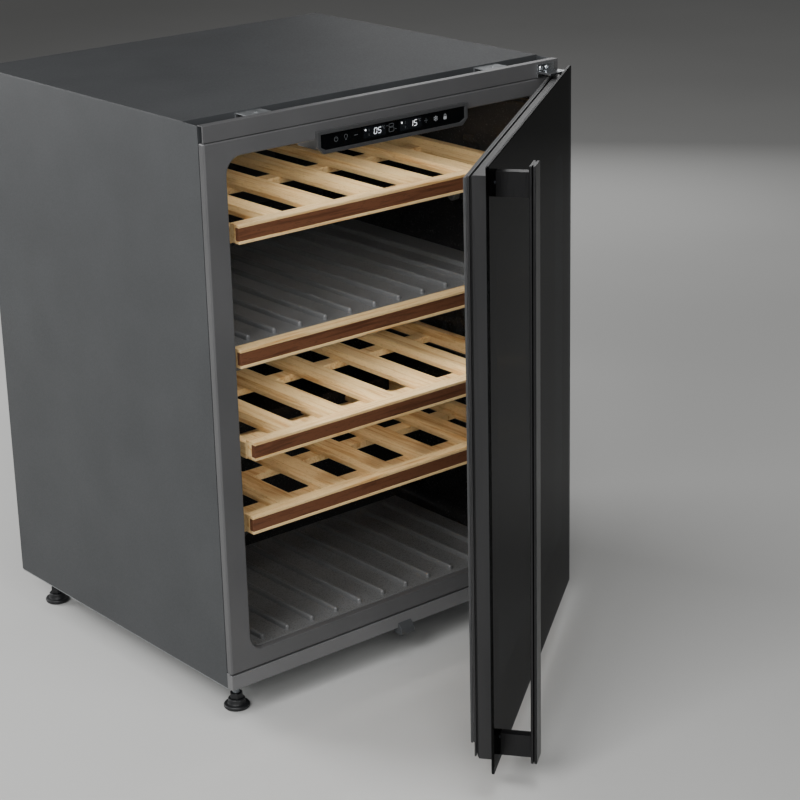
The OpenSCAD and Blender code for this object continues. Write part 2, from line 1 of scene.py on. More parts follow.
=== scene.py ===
"""Looks of a built-under two-zone wine cooler whose glass door stands ajar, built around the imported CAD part."""

import json
import logging
import math
from dataclasses import dataclass
from enum import Enum
from typing import Any, Iterable, Sequence

import bmesh
import bpy
from mathutils import Matrix, Vector


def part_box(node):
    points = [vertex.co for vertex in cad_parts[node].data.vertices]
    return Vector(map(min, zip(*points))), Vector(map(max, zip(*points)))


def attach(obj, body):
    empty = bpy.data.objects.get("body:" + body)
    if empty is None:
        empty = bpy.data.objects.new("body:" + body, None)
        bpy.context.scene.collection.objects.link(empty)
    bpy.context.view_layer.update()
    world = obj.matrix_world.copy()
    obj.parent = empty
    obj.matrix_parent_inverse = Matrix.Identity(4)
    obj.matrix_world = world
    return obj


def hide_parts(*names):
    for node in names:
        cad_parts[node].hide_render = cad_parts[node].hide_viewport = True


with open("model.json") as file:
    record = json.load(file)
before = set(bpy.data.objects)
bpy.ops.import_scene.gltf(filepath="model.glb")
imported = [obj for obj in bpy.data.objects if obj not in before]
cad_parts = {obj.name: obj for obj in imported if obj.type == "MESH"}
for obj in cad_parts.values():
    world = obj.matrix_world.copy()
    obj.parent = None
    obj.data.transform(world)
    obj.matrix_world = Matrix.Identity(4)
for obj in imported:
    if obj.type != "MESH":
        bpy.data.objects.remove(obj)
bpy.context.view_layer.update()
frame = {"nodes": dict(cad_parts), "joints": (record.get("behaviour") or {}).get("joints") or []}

log = logging.getLogger("wine_cooler")
Colour = tuple[float, float, float, float]
Flat = tuple[float, float]
Point = tuple[float, float, float]
Tree = bpy.types.NodeTree
Socket = bpy.types.NodeSocket
Surface = tuple[dict[str, Any], dict[str, Socket]]

MM = 0.001
SHORTEST = 1e-6  # steps below this length have no direction
SHARPEST = 0.4  # a stroke's corner reaches at most 1 / SHARPEST of its half width
BEND_SHARE = 0.48  # largest share of a straight length that one bend may take
WELD_GAP = 2e-5  # points of a CAD mesh nearer than this, in metres, are one
EDGE_ANGLE = 35.0  # edges sharper than this, in degrees, get rounded


# ---- small tools ----


def srgb(code: str) -> Colour:
    """Turns an sRGB hex colour into the linear one that the shaders use.

    Args:
        code: The colour as "#rrggbb".

    Returns:
        Linear red, green, blue and an alpha of 1.
    """
    parts = [int(code[i : i + 2], 16) / 255 for i in (1, 3, 5)]
    line = [c / 12.92 if c <= 0.04045 else ((c + 0.055) / 1.055) ** 2.4 for c in parts]
    return (line[0], line[1], line[2], 1.0)


def add_node(
    tree: Tree,
    kind: str,
    settings: dict[Any, Any] | None = None,
    links: dict[Any, Socket] | None = None,
) -> bpy.types.Node:
    """Adds a node with its settings and its links.

    Args:
        tree: The material's or the world's node tree.
        kind: Blender's name for the node.
        settings: Values by the name or number of an input, or by the name of a property.
        links: Outputs of other nodes by the name or number of the input that they feed.

    Returns:
        The new node.
    """
    made = tree.nodes.new(kind)
    for key, value in (settings or {}).items():
        if isinstance(key, int) or key in made.inputs:
            made.inputs[key].default_value = value
        else:
            setattr(made, key, value)
    for key, output in (links or {}).items():
        tree.links.new(output, made.inputs[key])
    return made


def per_mm(size: float) -> float:
    """Texture scale, in repeats per metre, of a pattern whose grain is size millimetres."""
    return 1000.0 / size


def rounded(x0: float, x1: float, z0: float, z1: float, radius: float, steps: int = 6) -> list[Flat]:
    """Outline of a rectangle with round corners.

    Args:
        x0, x1: Left and right edge.
        z0, z1: Lower and upper edge.
        radius: Corner radius.
        steps: Lengths along each corner.

    Returns:
        The outline's points, in millimetres.
    """
    corners = (
        (x1 - radius, z1 - radius, 0),
        (x0 + radius, z1 - radius, 90),
        (x0 + radius, z0 + radius, 180),
        (x1 - radius, z0 + radius, 270),
    )
    return [point for x, z, start in corners for point in circle(x, z, radius, steps, start, 90)]


def circle(cx: float, cz: float, radius: float, steps: int = 24, start: float = 0, turn: float = 360) -> list[Flat]:
    """Points along a circle, or along an arc with its last point.

    Args:
        cx, cz: Its centre.
        radius: Its radius.
        steps: Lengths along it.
        start: Angle of the first point in degrees.
        turn: Angle from there to the end in degrees.

    Returns:
        The points, in millimetres.
    """
    count = steps if turn >= 360 else steps + 1
    angles = [math.radians(start + turn * i / steps) for i in range(count)]
    return [(cx + radius * math.cos(a), cz + radius * math.sin(a)) for a in angles]


class Axis(Enum):
    """Direction that an outline is pushed along; the outline is drawn in the other two axes."""

    X = "x"
    Y = "y"
    Z = "z"

    def place(self, flat: Flat, depth: float) -> Vector:
        """The point of an outline at a depth along this axis."""
        a, b = flat
        return Vector({Axis.X: (depth, a, b), Axis.Y: (a, depth, b), Axis.Z: (a, b, depth)}[self])


class Shape:
    """A mesh of one piece, drawn in millimetres in the cabinet's or the door's own frame."""

    def __init__(self) -> None:
        """Starts with nothing drawn."""
        self.mesh = bmesh.new()

    def loft(self, rings: Sequence[Sequence[Vector]], loop: bool = False) -> "Shape":
        """Joins rings of points that have as many points each.

        Args:
            rings: The rings in order.
            loop: Whether the last ring joins the first one; if not, a face closes each of them.

        Returns:
            This shape.
        """
        made = [[self.mesh.verts.new(p) for p in ring] for ring in rings]
        count = len(made[0])
        pairs = list(zip(made, made[1:])) + ([(made[-1], made[0])] if loop else [])
        for near, far in pairs:
            for i in range(count):
                j = (i + 1) % count
                self.mesh.faces.new((near[i], near[j], far[j], far[i]))
        if not loop:
            self.mesh.faces.new(list(reversed(made[0])))
            self.mesh.faces.new(made[-1])
        return self

    def prism(self, outline: Sequence[Flat], axis: Axis, start: float, end: float) -> "Shape":
        """Pushes a closed outline along an axis from start to end."""
        return self.loft([[axis.place(p, d) for p in outline] for d in (start, end)])

    def box(self, x0: float, x1: float, y0: float, y1: float, z0: float, z1: float) -> "Shape":
        """Adds a block by its limits."""
        return self.prism([(x0, z0), (x1, z0), (x1, z1), (x0, z1)], Axis.Y, y0, y1)

    def plate(self, outer: Sequence[Flat], inner: Sequence[Flat], y0: float, y1: float) -> "Shape":
        """Adds a flat plate with one window; both outlines have as many points."""
        rings = [[Axis.Y.place(p, y) for p in line] for line, y in ((outer, y0), (outer, y1), (inner, y1), (inner, y0))]
        return self.loft(rings, loop=True)

    def lathe(self, profile: Sequence[Flat], centre: Point, axis: Axis, steps: int = 48) -> "Shape":
        """Turns a profile round an axis.

        Args:
            profile: Pairs of a radius above zero and a distance along the axis.
            centre: The point that the axis passes through.
            axis: Direction of the axis.
            steps: Flats round the turn.

        Returns:
            This shape.
        """
        rings = []
        for radius, depth in profile:
            rings.append([Vector(centre) + axis.place(p, depth) for p in circle(0, 0, radius, steps)])
        return self.loft(rings)

    def tube(self, path: Sequence[Point], radius: float, sides: int, bend: float) -> "Shape":
        """Runs a round section along a path.

        Args:
            path: Corner points of the path.
            radius: Radius of the section.
            sides: Flats round the section.
            bend: Radius that the corners are rounded to.

        Returns:
            This shape.
        """
        points = bent(path, bend)
        angles = [math.tau * k / sides for k in range(sides)]
        rings, side = [], None
        for before, point, after in zip(points[:1] + points, points, points[1:] + points[-1:]):
            along = (after - before).normalized()
            side = along.orthogonal() if side is None else side - side.dot(along) * along
            side.normalize()
            other = along.cross(side)
            rings.append([point + radius * (math.cos(t) * side + math.sin(t) * other) for t in angles])
        return self.loft(rings)

    def ribbon(self, line: Sequence[Flat], width: float, y0: float, y1: float, closed: bool = False) -> "Shape":
        """Adds a flat stroke along a line in x and z.

        Args:
            line: The stroke's middle line.
            width: Width of the stroke.
            y0, y1: Its faces.
            closed: Whether the line closes on itself.

        Returns:
            This shape.
        """
        points = [Vector(p) for p in line]
        left, right = [], []
        for i, point in enumerate(points):
            before = points[i - 1] if i or closed else point
            after = points[(i + 1) % len(points)] if i + 1 < len(points) or closed else point
            a, b = point - before, after - point
            a = b if a.length < SHORTEST else a
            b = a if b.length < SHORTEST else b
            a, b = a.normalized(), b.normalized()
            normal = Vector((-(a.y + b.y), a.x + b.x)).normalized()
            reach = width / 2 / max(SHARPEST, normal.dot(Vector((-a.y, a.x))))
            left.append(tuple(point + normal * reach))
            right.append(tuple(point - normal * reach))
        if closed:
            return self.plate(left, right, y0, y1)
        return self.prism(left + right[::-1], Axis.Y, y0, y1)


def bent(path: Sequence[Point], radius: float, steps: int = 6) -> list[Vector]:
    """Rounds the corners of a path.

    Args:
        path: The corner points.
        radius: Radius of the bends.
        steps: Lengths along each bend.

    Returns:
        The points of the rounded path.
    """
    points = [Vector(p) for p in path]
    out = [points[0]]
    for before, corner, after in zip(points, points[1:], points[2:]):
        a, b = (before - corner).normalized(), (after - corner).normalized()
        half = a.angle(b) / 2
        straight = min((before - corner).length, (after - corner).length)
        reach = min(radius / math.tan(half), straight * BEND_SHARE)
        start, end = corner + a * reach, corner + b * reach
        for i in range(steps + 1):
            t = i / steps
            out.append((1 - t) ** 2 * start + 2 * t * (1 - t) * corner + t * t * end)
    return out + [points[-1]]


# ---- where things are ----


class Place:
    """The two frames that pieces are drawn in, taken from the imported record."""

    def __init__(self) -> None:
        """Reads the front plane and the hinge from the frame."""
        swing = next(j for j in frame["joints"] if j["name"] == "door_swing")
        hinge = Vector(swing["pos_m"])
        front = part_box("front_frame")[0].y
        self.cabinet = Matrix.Translation((0, front, 0)) @ Matrix.Scale(MM, 4)
        shut = Matrix.Translation(hinge) @ Matrix.Rotation(math.radians(-swing["range_deg"][0]), 4, "Z")
        self.door = shut @ Matrix.Translation(-hinge) @ self.cabinet


PLACE = Place()


# ---- finishes ----

LOW, HIGH = 0.3, 0.7  # most of a cloud pattern's values lie between these
FROM_LOW, FROM_HIGH, TO_LOW, TO_HIGH = 1, 2, 3, 4  # inputs of the map range node
MIX_FACTOR, MIX_A, MIX_B, MIX_RESULT = 0, 6, 7, 2  # colour sockets of the mix node


@dataclass(frozen=True)
class Finish:
    """What a surface is made of and how it was made; the name is that of its material."""

    name: str

    def surface(self, tree: Tree) -> Surface:
        """Draws the patterns and gives the shader's fixed values and its linked inputs."""
        raise NotImplementedError

    def material(self) -> bpy.types.Material:
        """Makes the finish's material, the first time that it is asked for.

        Returns:
            The material.
        """
        found = bpy.data.materials.get(self.name)
        if found:
            return found
        made = bpy.data.materials.new(self.name)
        made.use_nodes = True
        tree = made.node_tree
        tree.nodes.clear()
        shader = add_node(tree, "ShaderNodeBsdfPrincipled", *self.surface(tree))
        add_node(tree, "ShaderNodeOutputMaterial", links={"Surface": shader.outputs[0]})
        return made


class Pattern(Enum):
    """The two kinds of grain that finishes are drawn with."""

    CLOUD = "ShaderNodeTexNoise"
    CELL = "ShaderNodeTexVoronoi"


def grain(tree: Tree, pattern: Pattern, size: float, stretch: Point = (1.0, 1.0, 1.0), **settings: Any) -> Socket:
    """Draws a pattern in the piece's own coordinates.

    Args:
        tree: The material's node tree.
        pattern: Soft clouds or cells.
        size: Size of one cloud or cell in millimetres.
        stretch: How many times longer it is along x, y and z.
        settings: More settings of the texture.

    Returns:
        The pattern's value.
    """
    coords = add_node(tree, "ShaderNodeTexCoord").outputs["Object"]
    scaled = add_node(tree, "ShaderNodeMapping", {"Scale": [1 / s for s in stretch]}, {"Vector": coords})
    return add_node(tree, pattern.value, {"Scale": per_mm(size), **settings}, {"Vector": scaled.outputs[0]}).outputs[0]


def blend_colours(tree: Tree, value: Socket, stops: Sequence[tuple[float, str]]) -> Socket:
    """Turns a pattern's value into colours.

    Args:
        tree: The material's node tree.
        value: The pattern.
        stops: Pairs of a value and the sRGB colour that it gets.

    Returns:
        The colour.
    """
    ramp = add_node(tree, "ShaderNodeValToRGB", links={0: value})
    for i, (at, code) in enumerate(stops):
        stop = ramp.color_ramp.elements[i] if i < 2 else ramp.color_ramp.elements.new(at)
        stop.position, stop.color = at, srgb(code)
    return ramp.outputs[0]


def spread(tree: Tree, value: Socket, low: float, high: float) -> Socket:
    """Spreads the middle of a pattern's value over a range, such as of roughness."""
    span = {FROM_LOW: LOW, FROM_HIGH: HIGH, TO_LOW: low, TO_HIGH: high}
    return add_node(tree, "ShaderNodeMapRange", span, {0: value}).outputs[0]


def relief(tree: Tree, value: Socket, depth: float) -> Socket:
    """Bump normal of a pattern that is depth millimetres deep."""
    return add_node(tree, "ShaderNodeBump", {"Distance": depth * MM, "Strength": 1.0}, {"Height": value}).outputs[0]


@dataclass(frozen=True)
class PowderCoatedSteel(Finish):
    """Sheet steel, powder coated and baked: an even satin skin with a faint orange peel."""

    colour: str
    shade: str
    roughness: float
    peel: float  # width of one dimple of the orange peel
    cloud: float = 90.0

    def surface(self, tree: Tree) -> Surface:
        """The peel breaks highlights up softly; slow clouds keep large panels from looking flat.

        Args:
            tree: The material's node tree.

        Returns:
            The shader's fixed values and its linked inputs.
        """
        slow = grain(tree, Pattern.CLOUD, self.cloud, Detail=3.0)
        fine = grain(tree, Pattern.CLOUD, self.peel, Detail=1.5)
        return {"IOR": 1.5}, {
            "Base Color": blend_colours(tree, slow, [(LOW, self.shade), (HIGH, self.colour)]),
            "Roughness": spread(tree, fine, self.roughness - 0.05, self.roughness + 0.06),
            "Normal": relief(tree, fine, 0.03),
        }


@dataclass(frozen=True)
class GalvanisedSteel(Finish):
    """Hot-dip galvanised sheet: crystals of zinc that catch the light one by one."""

    colour: str = "#a9acae"
    shade: str = "#9a9da0"
    spangle: float = 7.0
    streak: float = 0.8  # real rolling lines are too fine to show, so these are drawn about four times as wide

    def surface(self, tree: Tree) -> Surface:
        """Each crystal gets its own tone and gloss, so the sheet looks mottled and cool.

        Args:
            tree: The material's node tree.

        Returns:
            The shader's fixed values and its linked inputs.
        """
        coords = add_node(tree, "ShaderNodeTexCoord").outputs["Object"]
        cells = add_node(tree, Pattern.CELL.value, {"Scale": per_mm(self.spangle)}, {"Vector": coords})
        tone = add_node(tree, "ShaderNodeSeparateColor", links={0: cells.outputs["Color"]}).outputs[0]
        return {"Metallic": 1.0}, {
            "Base Color": blend_colours(tree, tone, [(0.0, self.shade), (1.0, self.colour)]),
            "Roughness": spread(tree, tone, 0.44, 0.54),
            "Normal": relief(tree, grain(tree, Pattern.CLOUD, self.streak, (6, 1, 1)), 0.01),
        }


@dataclass(frozen=True)
class MouldedPlastic(Finish):
    """ABS or polystyrene from a textured mould: a fine spark-eroded grain."""

    colour: str
    shade: str
    roughness: float
    texture: float  # a real mould grain of about 0.1 mm is too fine to show, so it is drawn at this size
    depth: float
    cloud: float = 60.0

    def surface(self, tree: Tree) -> Surface:
        """The grain widens highlights into a soft sheen and hides finger marks.

        Args:
            tree: The material's node tree.

        Returns:
            The shader's fixed values and its linked inputs.
        """
        fine = grain(tree, Pattern.CLOUD, self.texture, Detail=2.0)
        slow = grain(tree, Pattern.CLOUD, self.cloud, Detail=2.0)
        return {"IOR": 1.49}, {
            "Base Color": blend_colours(tree, slow, [(LOW, self.shade), (HIGH, self.colour)]),
            "Roughness": spread(tree, fine, self.roughness - 0.07, self.roughness + 0.07),
            "Normal": relief(tree, fine, self.depth),
        }


@dataclass(frozen=True)
class PolishedPanel(MouldedPlastic):
    """Clear panel printed black behind, cast smooth and polished: wet-looking and almost without grain."""

    depth: float = 0.002


@dataclass(frozen=True)
class AnodisedAluminium(Finish):
    """Extruded aluminium, brushed along its length and anodised nearly black."""

    colour: str
    shade: str
    roughness: float
    hairline: float = 0.5  # real hairlines of about 0.05 mm are too fine to show, so they are drawn ten times as wide
    cloud: float = 40.0

    def surface(self, tree: Tree) -> Surface:
        """Fine upright hairlines stretch highlights along the profile and keep it satin.

        Args:
            tree: The material's node tree.

        Returns:
            The shader's fixed values and its linked inputs.
        """
        hair = grain(tree, Pattern.CLOUD, self.hairline, (1, 1, 60), Detail=2.0)
        slow = grain(tree, Pattern.CLOUD, self.cloud, (1, 1, 6), Detail=2.0)
        return {"Metallic": 0.75}, {
            "Base Color": blend_colours(tree, slow, [(LOW, self.shade), (HIGH, self.colour)]),
            "Roughness": spread(tree, hair, self.roughness - 0.06, self.roughness + 0.08),
            "Normal": relief(tree, hair, 0.008),
        }


@dataclass(frozen=True)
class BareMetal(Finish):
    """Rolled or drawn metal with no coating, dulled a little by air."""

    colour: str = "#c3c8cc"
    shade: str = "#a4a9ad"
    roughness: float = 0.32
    line: float = 0.7  # real drawing lines of about 0.1 mm are too fine to show, so they are drawn wider
    stretch: Point = (1.0, 1.0, 12.0)
    tarnish: float = 18.0

    def surface(self, tree: Tree) -> Surface:
        """Rolling lines and cloudy tarnish break the mirror up.

        Args:
            tree: The material's node tree.

        Returns:
            The shader's fixed values and its linked inputs.
        """
        lines = grain(tree, Pattern.CLOUD, self.line, self.stretch)
        cloud = grain(tree, Pattern.CLOUD, self.tarnish, Detail=4.0)
        return {"Metallic": 1.0}, {
            "Base Color": blend_colours(tree, cloud, [(0.35, self.shade), (0.65, self.colour)]),
            "Roughness": spread(tree, cloud, self.roughness + 0.1, self.roughness - 0.05),
            "Normal": relief(tree, lines, 0.01),
        }


@dataclass(frozen=True)
class BlackEnamel(Finish):
    """Pressed steel dipped in black enamel: a wet-looking gloss over slight waves."""

    colour: str = "#101112"
    dusty: str = "#222325"
    wave: float = 22.0
    dust: float = 30.0

    def surface(self, tree: Tree) -> Surface:
        """Slow waves bend the reflections as a dipped coat does; dust dulls it in clouds.

        Args:
            tree: The material's node tree.

        Returns:
            The shader's fixed values and its linked inputs.
        """
        wave = grain(tree, Pattern.CLOUD, self.wave, Detail=1.0)
        dust = grain(tree, Pattern.CLOUD, self.dust, Detail=5.0)
        return {"IOR": 1.5, "Coat Weight": 0.5, "Coat Roughness": 0.12}, {
            "Base Color": blend_colours(tree, dust, [(0.4, self.colour), (0.75, self.dusty)]),
            "Roughness": spread(tree, dust, 0.2, 0.42),
            "Normal": relief(tree, wave, 0.4),
        }


@dataclass(frozen=True)
class Glass(Finish):
    """Float glass with polished edges, tinted or clear; a low index stands for an anti-reflective film."""

    tint: str
    index: float
    coat: float = 0.0
    roughness: float = 0.02
    wave: float = 140.0

    def surface(self, tree: Tree) -> Surface:
        """The tint darkens what is seen through it, and slight roller waves move the reflections.

        Args:
            tree: The material's node tree.

        Returns:
            The shader's fixed values and its linked inputs.
        """
        wave = grain(tree, Pattern.CLOUD, self.wave, Detail=1.0)
        fixed = {
            "Base Color": srgb(self.tint),
            "IOR": self.index,
            "Transmission Weight": 1.0,
            "Roughness": self.roughness,
            "Coat Weight": self.coat,
        }
        return fixed, {"Normal": relief(tree, wave, 0.05)}


@dataclass(frozen=True)
class CeramicPrint(Finish):
    """Black ceramic ink, screen printed on glass and fired."""

    colour: str = "#0b0c0d"
    gap: str = "#101113"
    screen: float = 1.2  # a real screen has about 5 threads per millimetre, too fine to show, so it is drawn coarser

    def surface(self, tree: Tree) -> Surface:
        """Deep and even, with the faintest screen grain behind the glass.

        Args:
            tree: The material's node tree.

        Returns:
            The shader's fixed values and its linked inputs.
        """
        screen = grain(tree, Pattern.CELL, self.screen)
        tone = blend_colours(tree, screen, [(0.2, self.colour), (0.8, self.gap)])
        return {"IOR": 1.5, "Roughness": 0.5}, {"Base Color": tone}


@dataclass(frozen=True)
class LacqueredWood(Finish):
    """Planed solid wood under satin lacquer, with its growth lines and pores along the piece."""

    early: str = "#ecca92"
    late: str = "#cf9d5e"
    dark: str = "#9a6c3c"
    along: Axis = Axis.X
    roughness: float = 0.46
    ring: float = 7.0
    pore: float = 1.0  # real pores of about 0.2 mm are too fine to show, so they are drawn wider
    board: float = 70.0

    def lengthwise(self, times: float) -> Point:
        """Stretch of a pattern that is some times longer along the grain than across it."""
        return tuple(times if axis is self.along else 1.0 for axis in Axis)

    def surface(self, tree: Tree) -> Surface:
        """Long growth lines carry the colour, short dark flecks the scale, and the lacquer a soft sheen.

        Args:
            tree: The material's node tree.

        Returns:
            The shader's fixed values and its linked inputs.
        """
        long = self.lengthwise(22.0)
        growth = grain(tree, Pattern.CLOUD, self.ring, long, Detail=4.0, Roughness=0.62, Distortion=0.6)
        pores = grain(tree, Pattern.CLOUD, self.pore, self.lengthwise(9.0), Detail=2.0, Roughness=0.7)
        board = grain(tree, Pattern.CLOUD, self.board, long, Detail=1.0)
        lines = blend_colours(tree, growth, [(0.34, self.late), (0.5, self.early), (0.66, self.early)])
        span = {FROM_LOW: 0.57, FROM_HIGH: 0.7, TO_LOW: 0.0, TO_HIGH: 0.55}
        mask = add_node(tree, "ShaderNodeMapRange", span, {0: pores}).outputs[0]
        pored = {"data_type": "RGBA", MIX_B: srgb(self.dark)}
        flecked = add_node(tree, "ShaderNodeMix", pored, {MIX_FACTOR: mask, MIX_A: lines}).outputs[MIX_RESULT]
        value = spread(tree, board, 0.86, 1.08)
        tone = add_node(tree, "ShaderNodeHueSaturation", {"Saturation": 1.0}, {"Value": value, "Color": flecked})
        return {"IOR": 1.5}, {
            "Base Color": tone.outputs[0],
            "Roughness": spread(tree, pores, self.roughness - 0.05, self.roughness + 0.1),
            "Normal": relief(tree, pores, 0.05),
        }


@dataclass(frozen=True)
class Rubber(Finish):
    """Extruded soft PVC or moulded rubber: dull, slightly dusty."""

    colour: str
    dusty: str = "#2c2e30"
    dust: float = 14.0
    skin: float = 0.6  # the real skin's grain is too fine to show, so it is drawn at this size

    def surface(self, tree: Tree) -> Surface:
        """A matt skin whose tone shifts a little where it was handled.

        Args:
            tree: The material's node tree.

        Returns:
            The shader's fixed values and its linked inputs.
        """
        dust = grain(tree, Pattern.CLOUD, self.dust, Detail=4.0)
        return {"IOR": 1.52, "Sheen Weight": 0.15}, {
            "Base Color": blend_colours(tree, dust, [(0.35, self.colour), (0.75, self.dusty)]),
            "Roughness": spread(tree, dust, 0.62, 0.78),
            "Normal": relief(tree, grain(tree, Pattern.CLOUD, self.skin), 0.02),
        }


@dataclass(frozen=True)
class PorousBlock(Finish):
    """Foam, felt or charcoal: open cells, with painted shade darkening their hollows."""

    colour: str = "#d8cfae"
    # colour of the sunken hollows, darker as painted shade
    painted_hollow_shade: str = "#a89d78"
    cell: float = 2.0

    def surface(self, tree: Tree) -> Surface:
        """The cells give a crumbly, fully matt face; the darker colour in the sunken hollows is painted shade.

        Args:
            tree: The material's node tree.

        Returns:
            The shader's fixed values and its linked inputs.
        """
        cells = grain(tree, Pattern.CELL, self.cell)
        tone = blend_colours(tree, cells, [(0.1, self.colour), (0.8, self.painted_hollow_shade)])
        return {"Roughness": 0.95, "IOR": 1.45}, {"Base Color": tone, "Normal": relief(tree, cells, -0.6)}


@dataclass(frozen=True)
class CircuitBoard(Finish):
    """Glass-fibre board under green solder mask, with a faint weave and copper lands."""

    copper: str = "#b99a52"
    mask: str = "#1f5a38"
    weave: str = "#174a2d"
    land: float = 6.0

    def surface(self, tree: Tree) -> Surface:
        """The weave and the lands keep the green from looking like paint.

        Args:
            tree: The material's node tree.

        Returns:
            The shader's fixed values and its linked inputs.
        """
        lands = grain(tree, Pattern.CELL, self.land, (2, 1, 1))
        tone = blend_colours(tree, lands, [(0.12, self.copper), (0.2, self.mask), (0.8, self.weave)])
        return {"Roughness": 0.35, "IOR": 1.55}, {"Base Color": tone}


@dataclass(frozen=True)
class Lit(Finish):
    """Light through a diffuser or a printed mask, from the diodes behind it."""

    colour: str
    glow: float
    core: str = "#ffffff"
    diode: float = 30.0

    def surface(self, tree: Tree) -> Surface:
        """Slightly uneven, as single diodes never blend fully.

        Args:
            tree: The material's node tree.

        Returns:
            The shader's fixed values and its linked inputs.
        """
        dots = grain(tree, Pattern.CLOUD, self.diode)
        tone = blend_colours(tree, dots, [(LOW, self.colour), (HIGH, self.core)])
        return {"Roughness": 0.4, "Emission Strength": self.glow}, {"Base Color": tone, "Emission Color": tone}


ALL_WAYS = (1.0, 1.0, 1.0)  # plated and drawn pieces show no lines along them
FRONT_PAINT = PowderCoatedSteel("front_frame_satin_paint", "#565657", "#505051", 0.36, 1.4)
# the front frame's satin grey, painted lighter so the kick strip looks lit like the lower front: painted light
KICK_PAINT_LIGHTENED = PowderCoatedSteel("kick_strip_paint_lightened_for_light", "#6c6c6d", "#656566", 0.34, 1.4)
BODY_PAINT = PowderCoatedSteel("cabinet_powder_coat", "#3c3e40", "#36383a", 0.55, 1.8)
ZINC = GalvanisedSteel("galvanised_sheet")
LINER = MouldedPlastic("liner_polystyrene", "#2b2b2c", "#252526", 0.22, 2.2, 0.01)
TRAY = MouldedPlastic("tray_grey_polystyrene", "#717273", "#686969", 0.3, 1.0, 0.015)
BEZEL = MouldedPlastic("bezel_grey_abs", "#3f4041", "#39393a", 0.34, 0.8, 0.02)
BLACK_ABS = MouldedPlastic("black_abs", "#1c1d1f", "#17181a", 0.5, 0.9, 0.03)
STOP = MouldedPlastic("stop_block_nylon", "#434547", "#3c3e40", 0.55, 0.8, 0.03)
TOUCH_GLASS = PolishedPanel("touch_panel_black_glass", "#08090a", "#0a0b0c", 0.12, 3.0)
SCREEN = PolishedPanel("display_window", "#17191c", "#141619", 0.2, 2.0)
DOOR_METAL = AnodisedAluminium("door_profile_anodised", "#3c3c3d", "#343435", 0.36)
HANDLE_METAL = AnodisedAluminium("handle_anodised", "#2e2e2f", "#272728", 0.32)
FIN_METAL = BareMetal("rolled_aluminium")
STEEL = BareMetal("plated_steel", "#b4b8bb", "#999da1", 0.3, 0.6, ALL_WAYS)
HINGE_STEEL = BareMetal("zinc_plated_steel_bright", "#d2d5d8", "#bcc0c3", 0.26, 0.6, ALL_WAYS)
COPPER = BareMetal("drawn_copper", "#c47a4c", "#94522f", 0.3, 0.5, ALL_WAYS)
ENAMEL = BlackEnamel("compressor_enamel")
FRONT_GLASS = Glass("front_glass_tinted", "#2e3033", 1.01, 0.2)
REAR_GLASS = Glass("rear_glass_coated", "#c9d2d2", 1.3)
PRINT = CeramicPrint("black_ceramic_print")
BEECH = LacqueredWood("beech_lacquered_along_x")
BEECH_SLAT = LacqueredWood("beech_lacquered_along_y", along=Axis.Y)
WALNUT = LacqueredWood("walnut_lacquered", "#6d4630", "#533322", "#321d12", Axis.X, 0.4, 5.0)
GASKET = Rubber("gasket_soft_pvc", "#333334")
MOUNT_RUBBER = Rubber("mount_rubber", "#1d1f21")
# a near-black sheet put into the vent slots as painted shade
VENT_SLOT_SHADE = PorousBlock("vent_slot_painted_shade", "#1c1c1d", "#121213", 0.8)
FOAM = PorousBlock("rigid_foam")
CHARCOAL = PorousBlock("activated_charcoal", "#2e3033", "#101112", 1.6)
BOARD = CircuitBoard("circuit_board")
OPAL = Lit("light_bar_opal", "#f5f2ea", 20.0)
DIGIT = Lit("display_digits", "#e6ecf6", 1.1)
ICON = Lit("panel_icons_bright", "#9a9da1", 0.12, "#a4a7aa")
FAINT_ICON = Lit("panel_icons_faint", "#55585b", 0.02, "#5c5f62")


# ---- putting pieces in the scene ----


class Mount(Enum):
    """Frame that a new piece is drawn in."""

    CABINET = "cabinet"
    DOOR = "door"


def soften(obj: bpy.types.Object, width: float, segments: int = 2, welded: bool = True) -> None:
    """Rounds a piece's hard edges.

    Args:
        obj: The piece.
        width: Width of the rounding in millimetres.
        segments: Lengths across the rounding.
        welded: Whether the mesh's points already join at its edges.
    """
    if not welded:
        weld = obj.modifiers.new("join_edges", "WELD")
        weld.merge_threshold = WELD_GAP
    if width <= 0:
        return
    bevel = obj.modifiers.new("broken_edges", "BEVEL")
    bevel.width = width * MM
    bevel.segments = segments
    bevel.limit_method = "ANGLE"
    bevel.angle_limit = math.radians(EDGE_ANGLE)
    bevel.harden_normals = True


def dress(node: str, finish: Finish, width: float = 0.0, segments: int = 2) -> bpy.types.Object:
    """Gives a CAD node its finish, and rounds its edges.

    Args:
        node: Name of the CAD node.
        finish: The finish.
        width: Width of the rounding in millimetres, or 0 for none.
        segments: Lengths across the rounding.

    Returns:
        The node's object.
    """
    obj = frame["nodes"][node]
    obj.data.materials.clear()
    obj.data.materials.append(finish.material())
    if width > 0:
        soften(obj, width, segments, welded=False)
    log.info("%s: CAD node in %s", node, finish.name)
    return obj


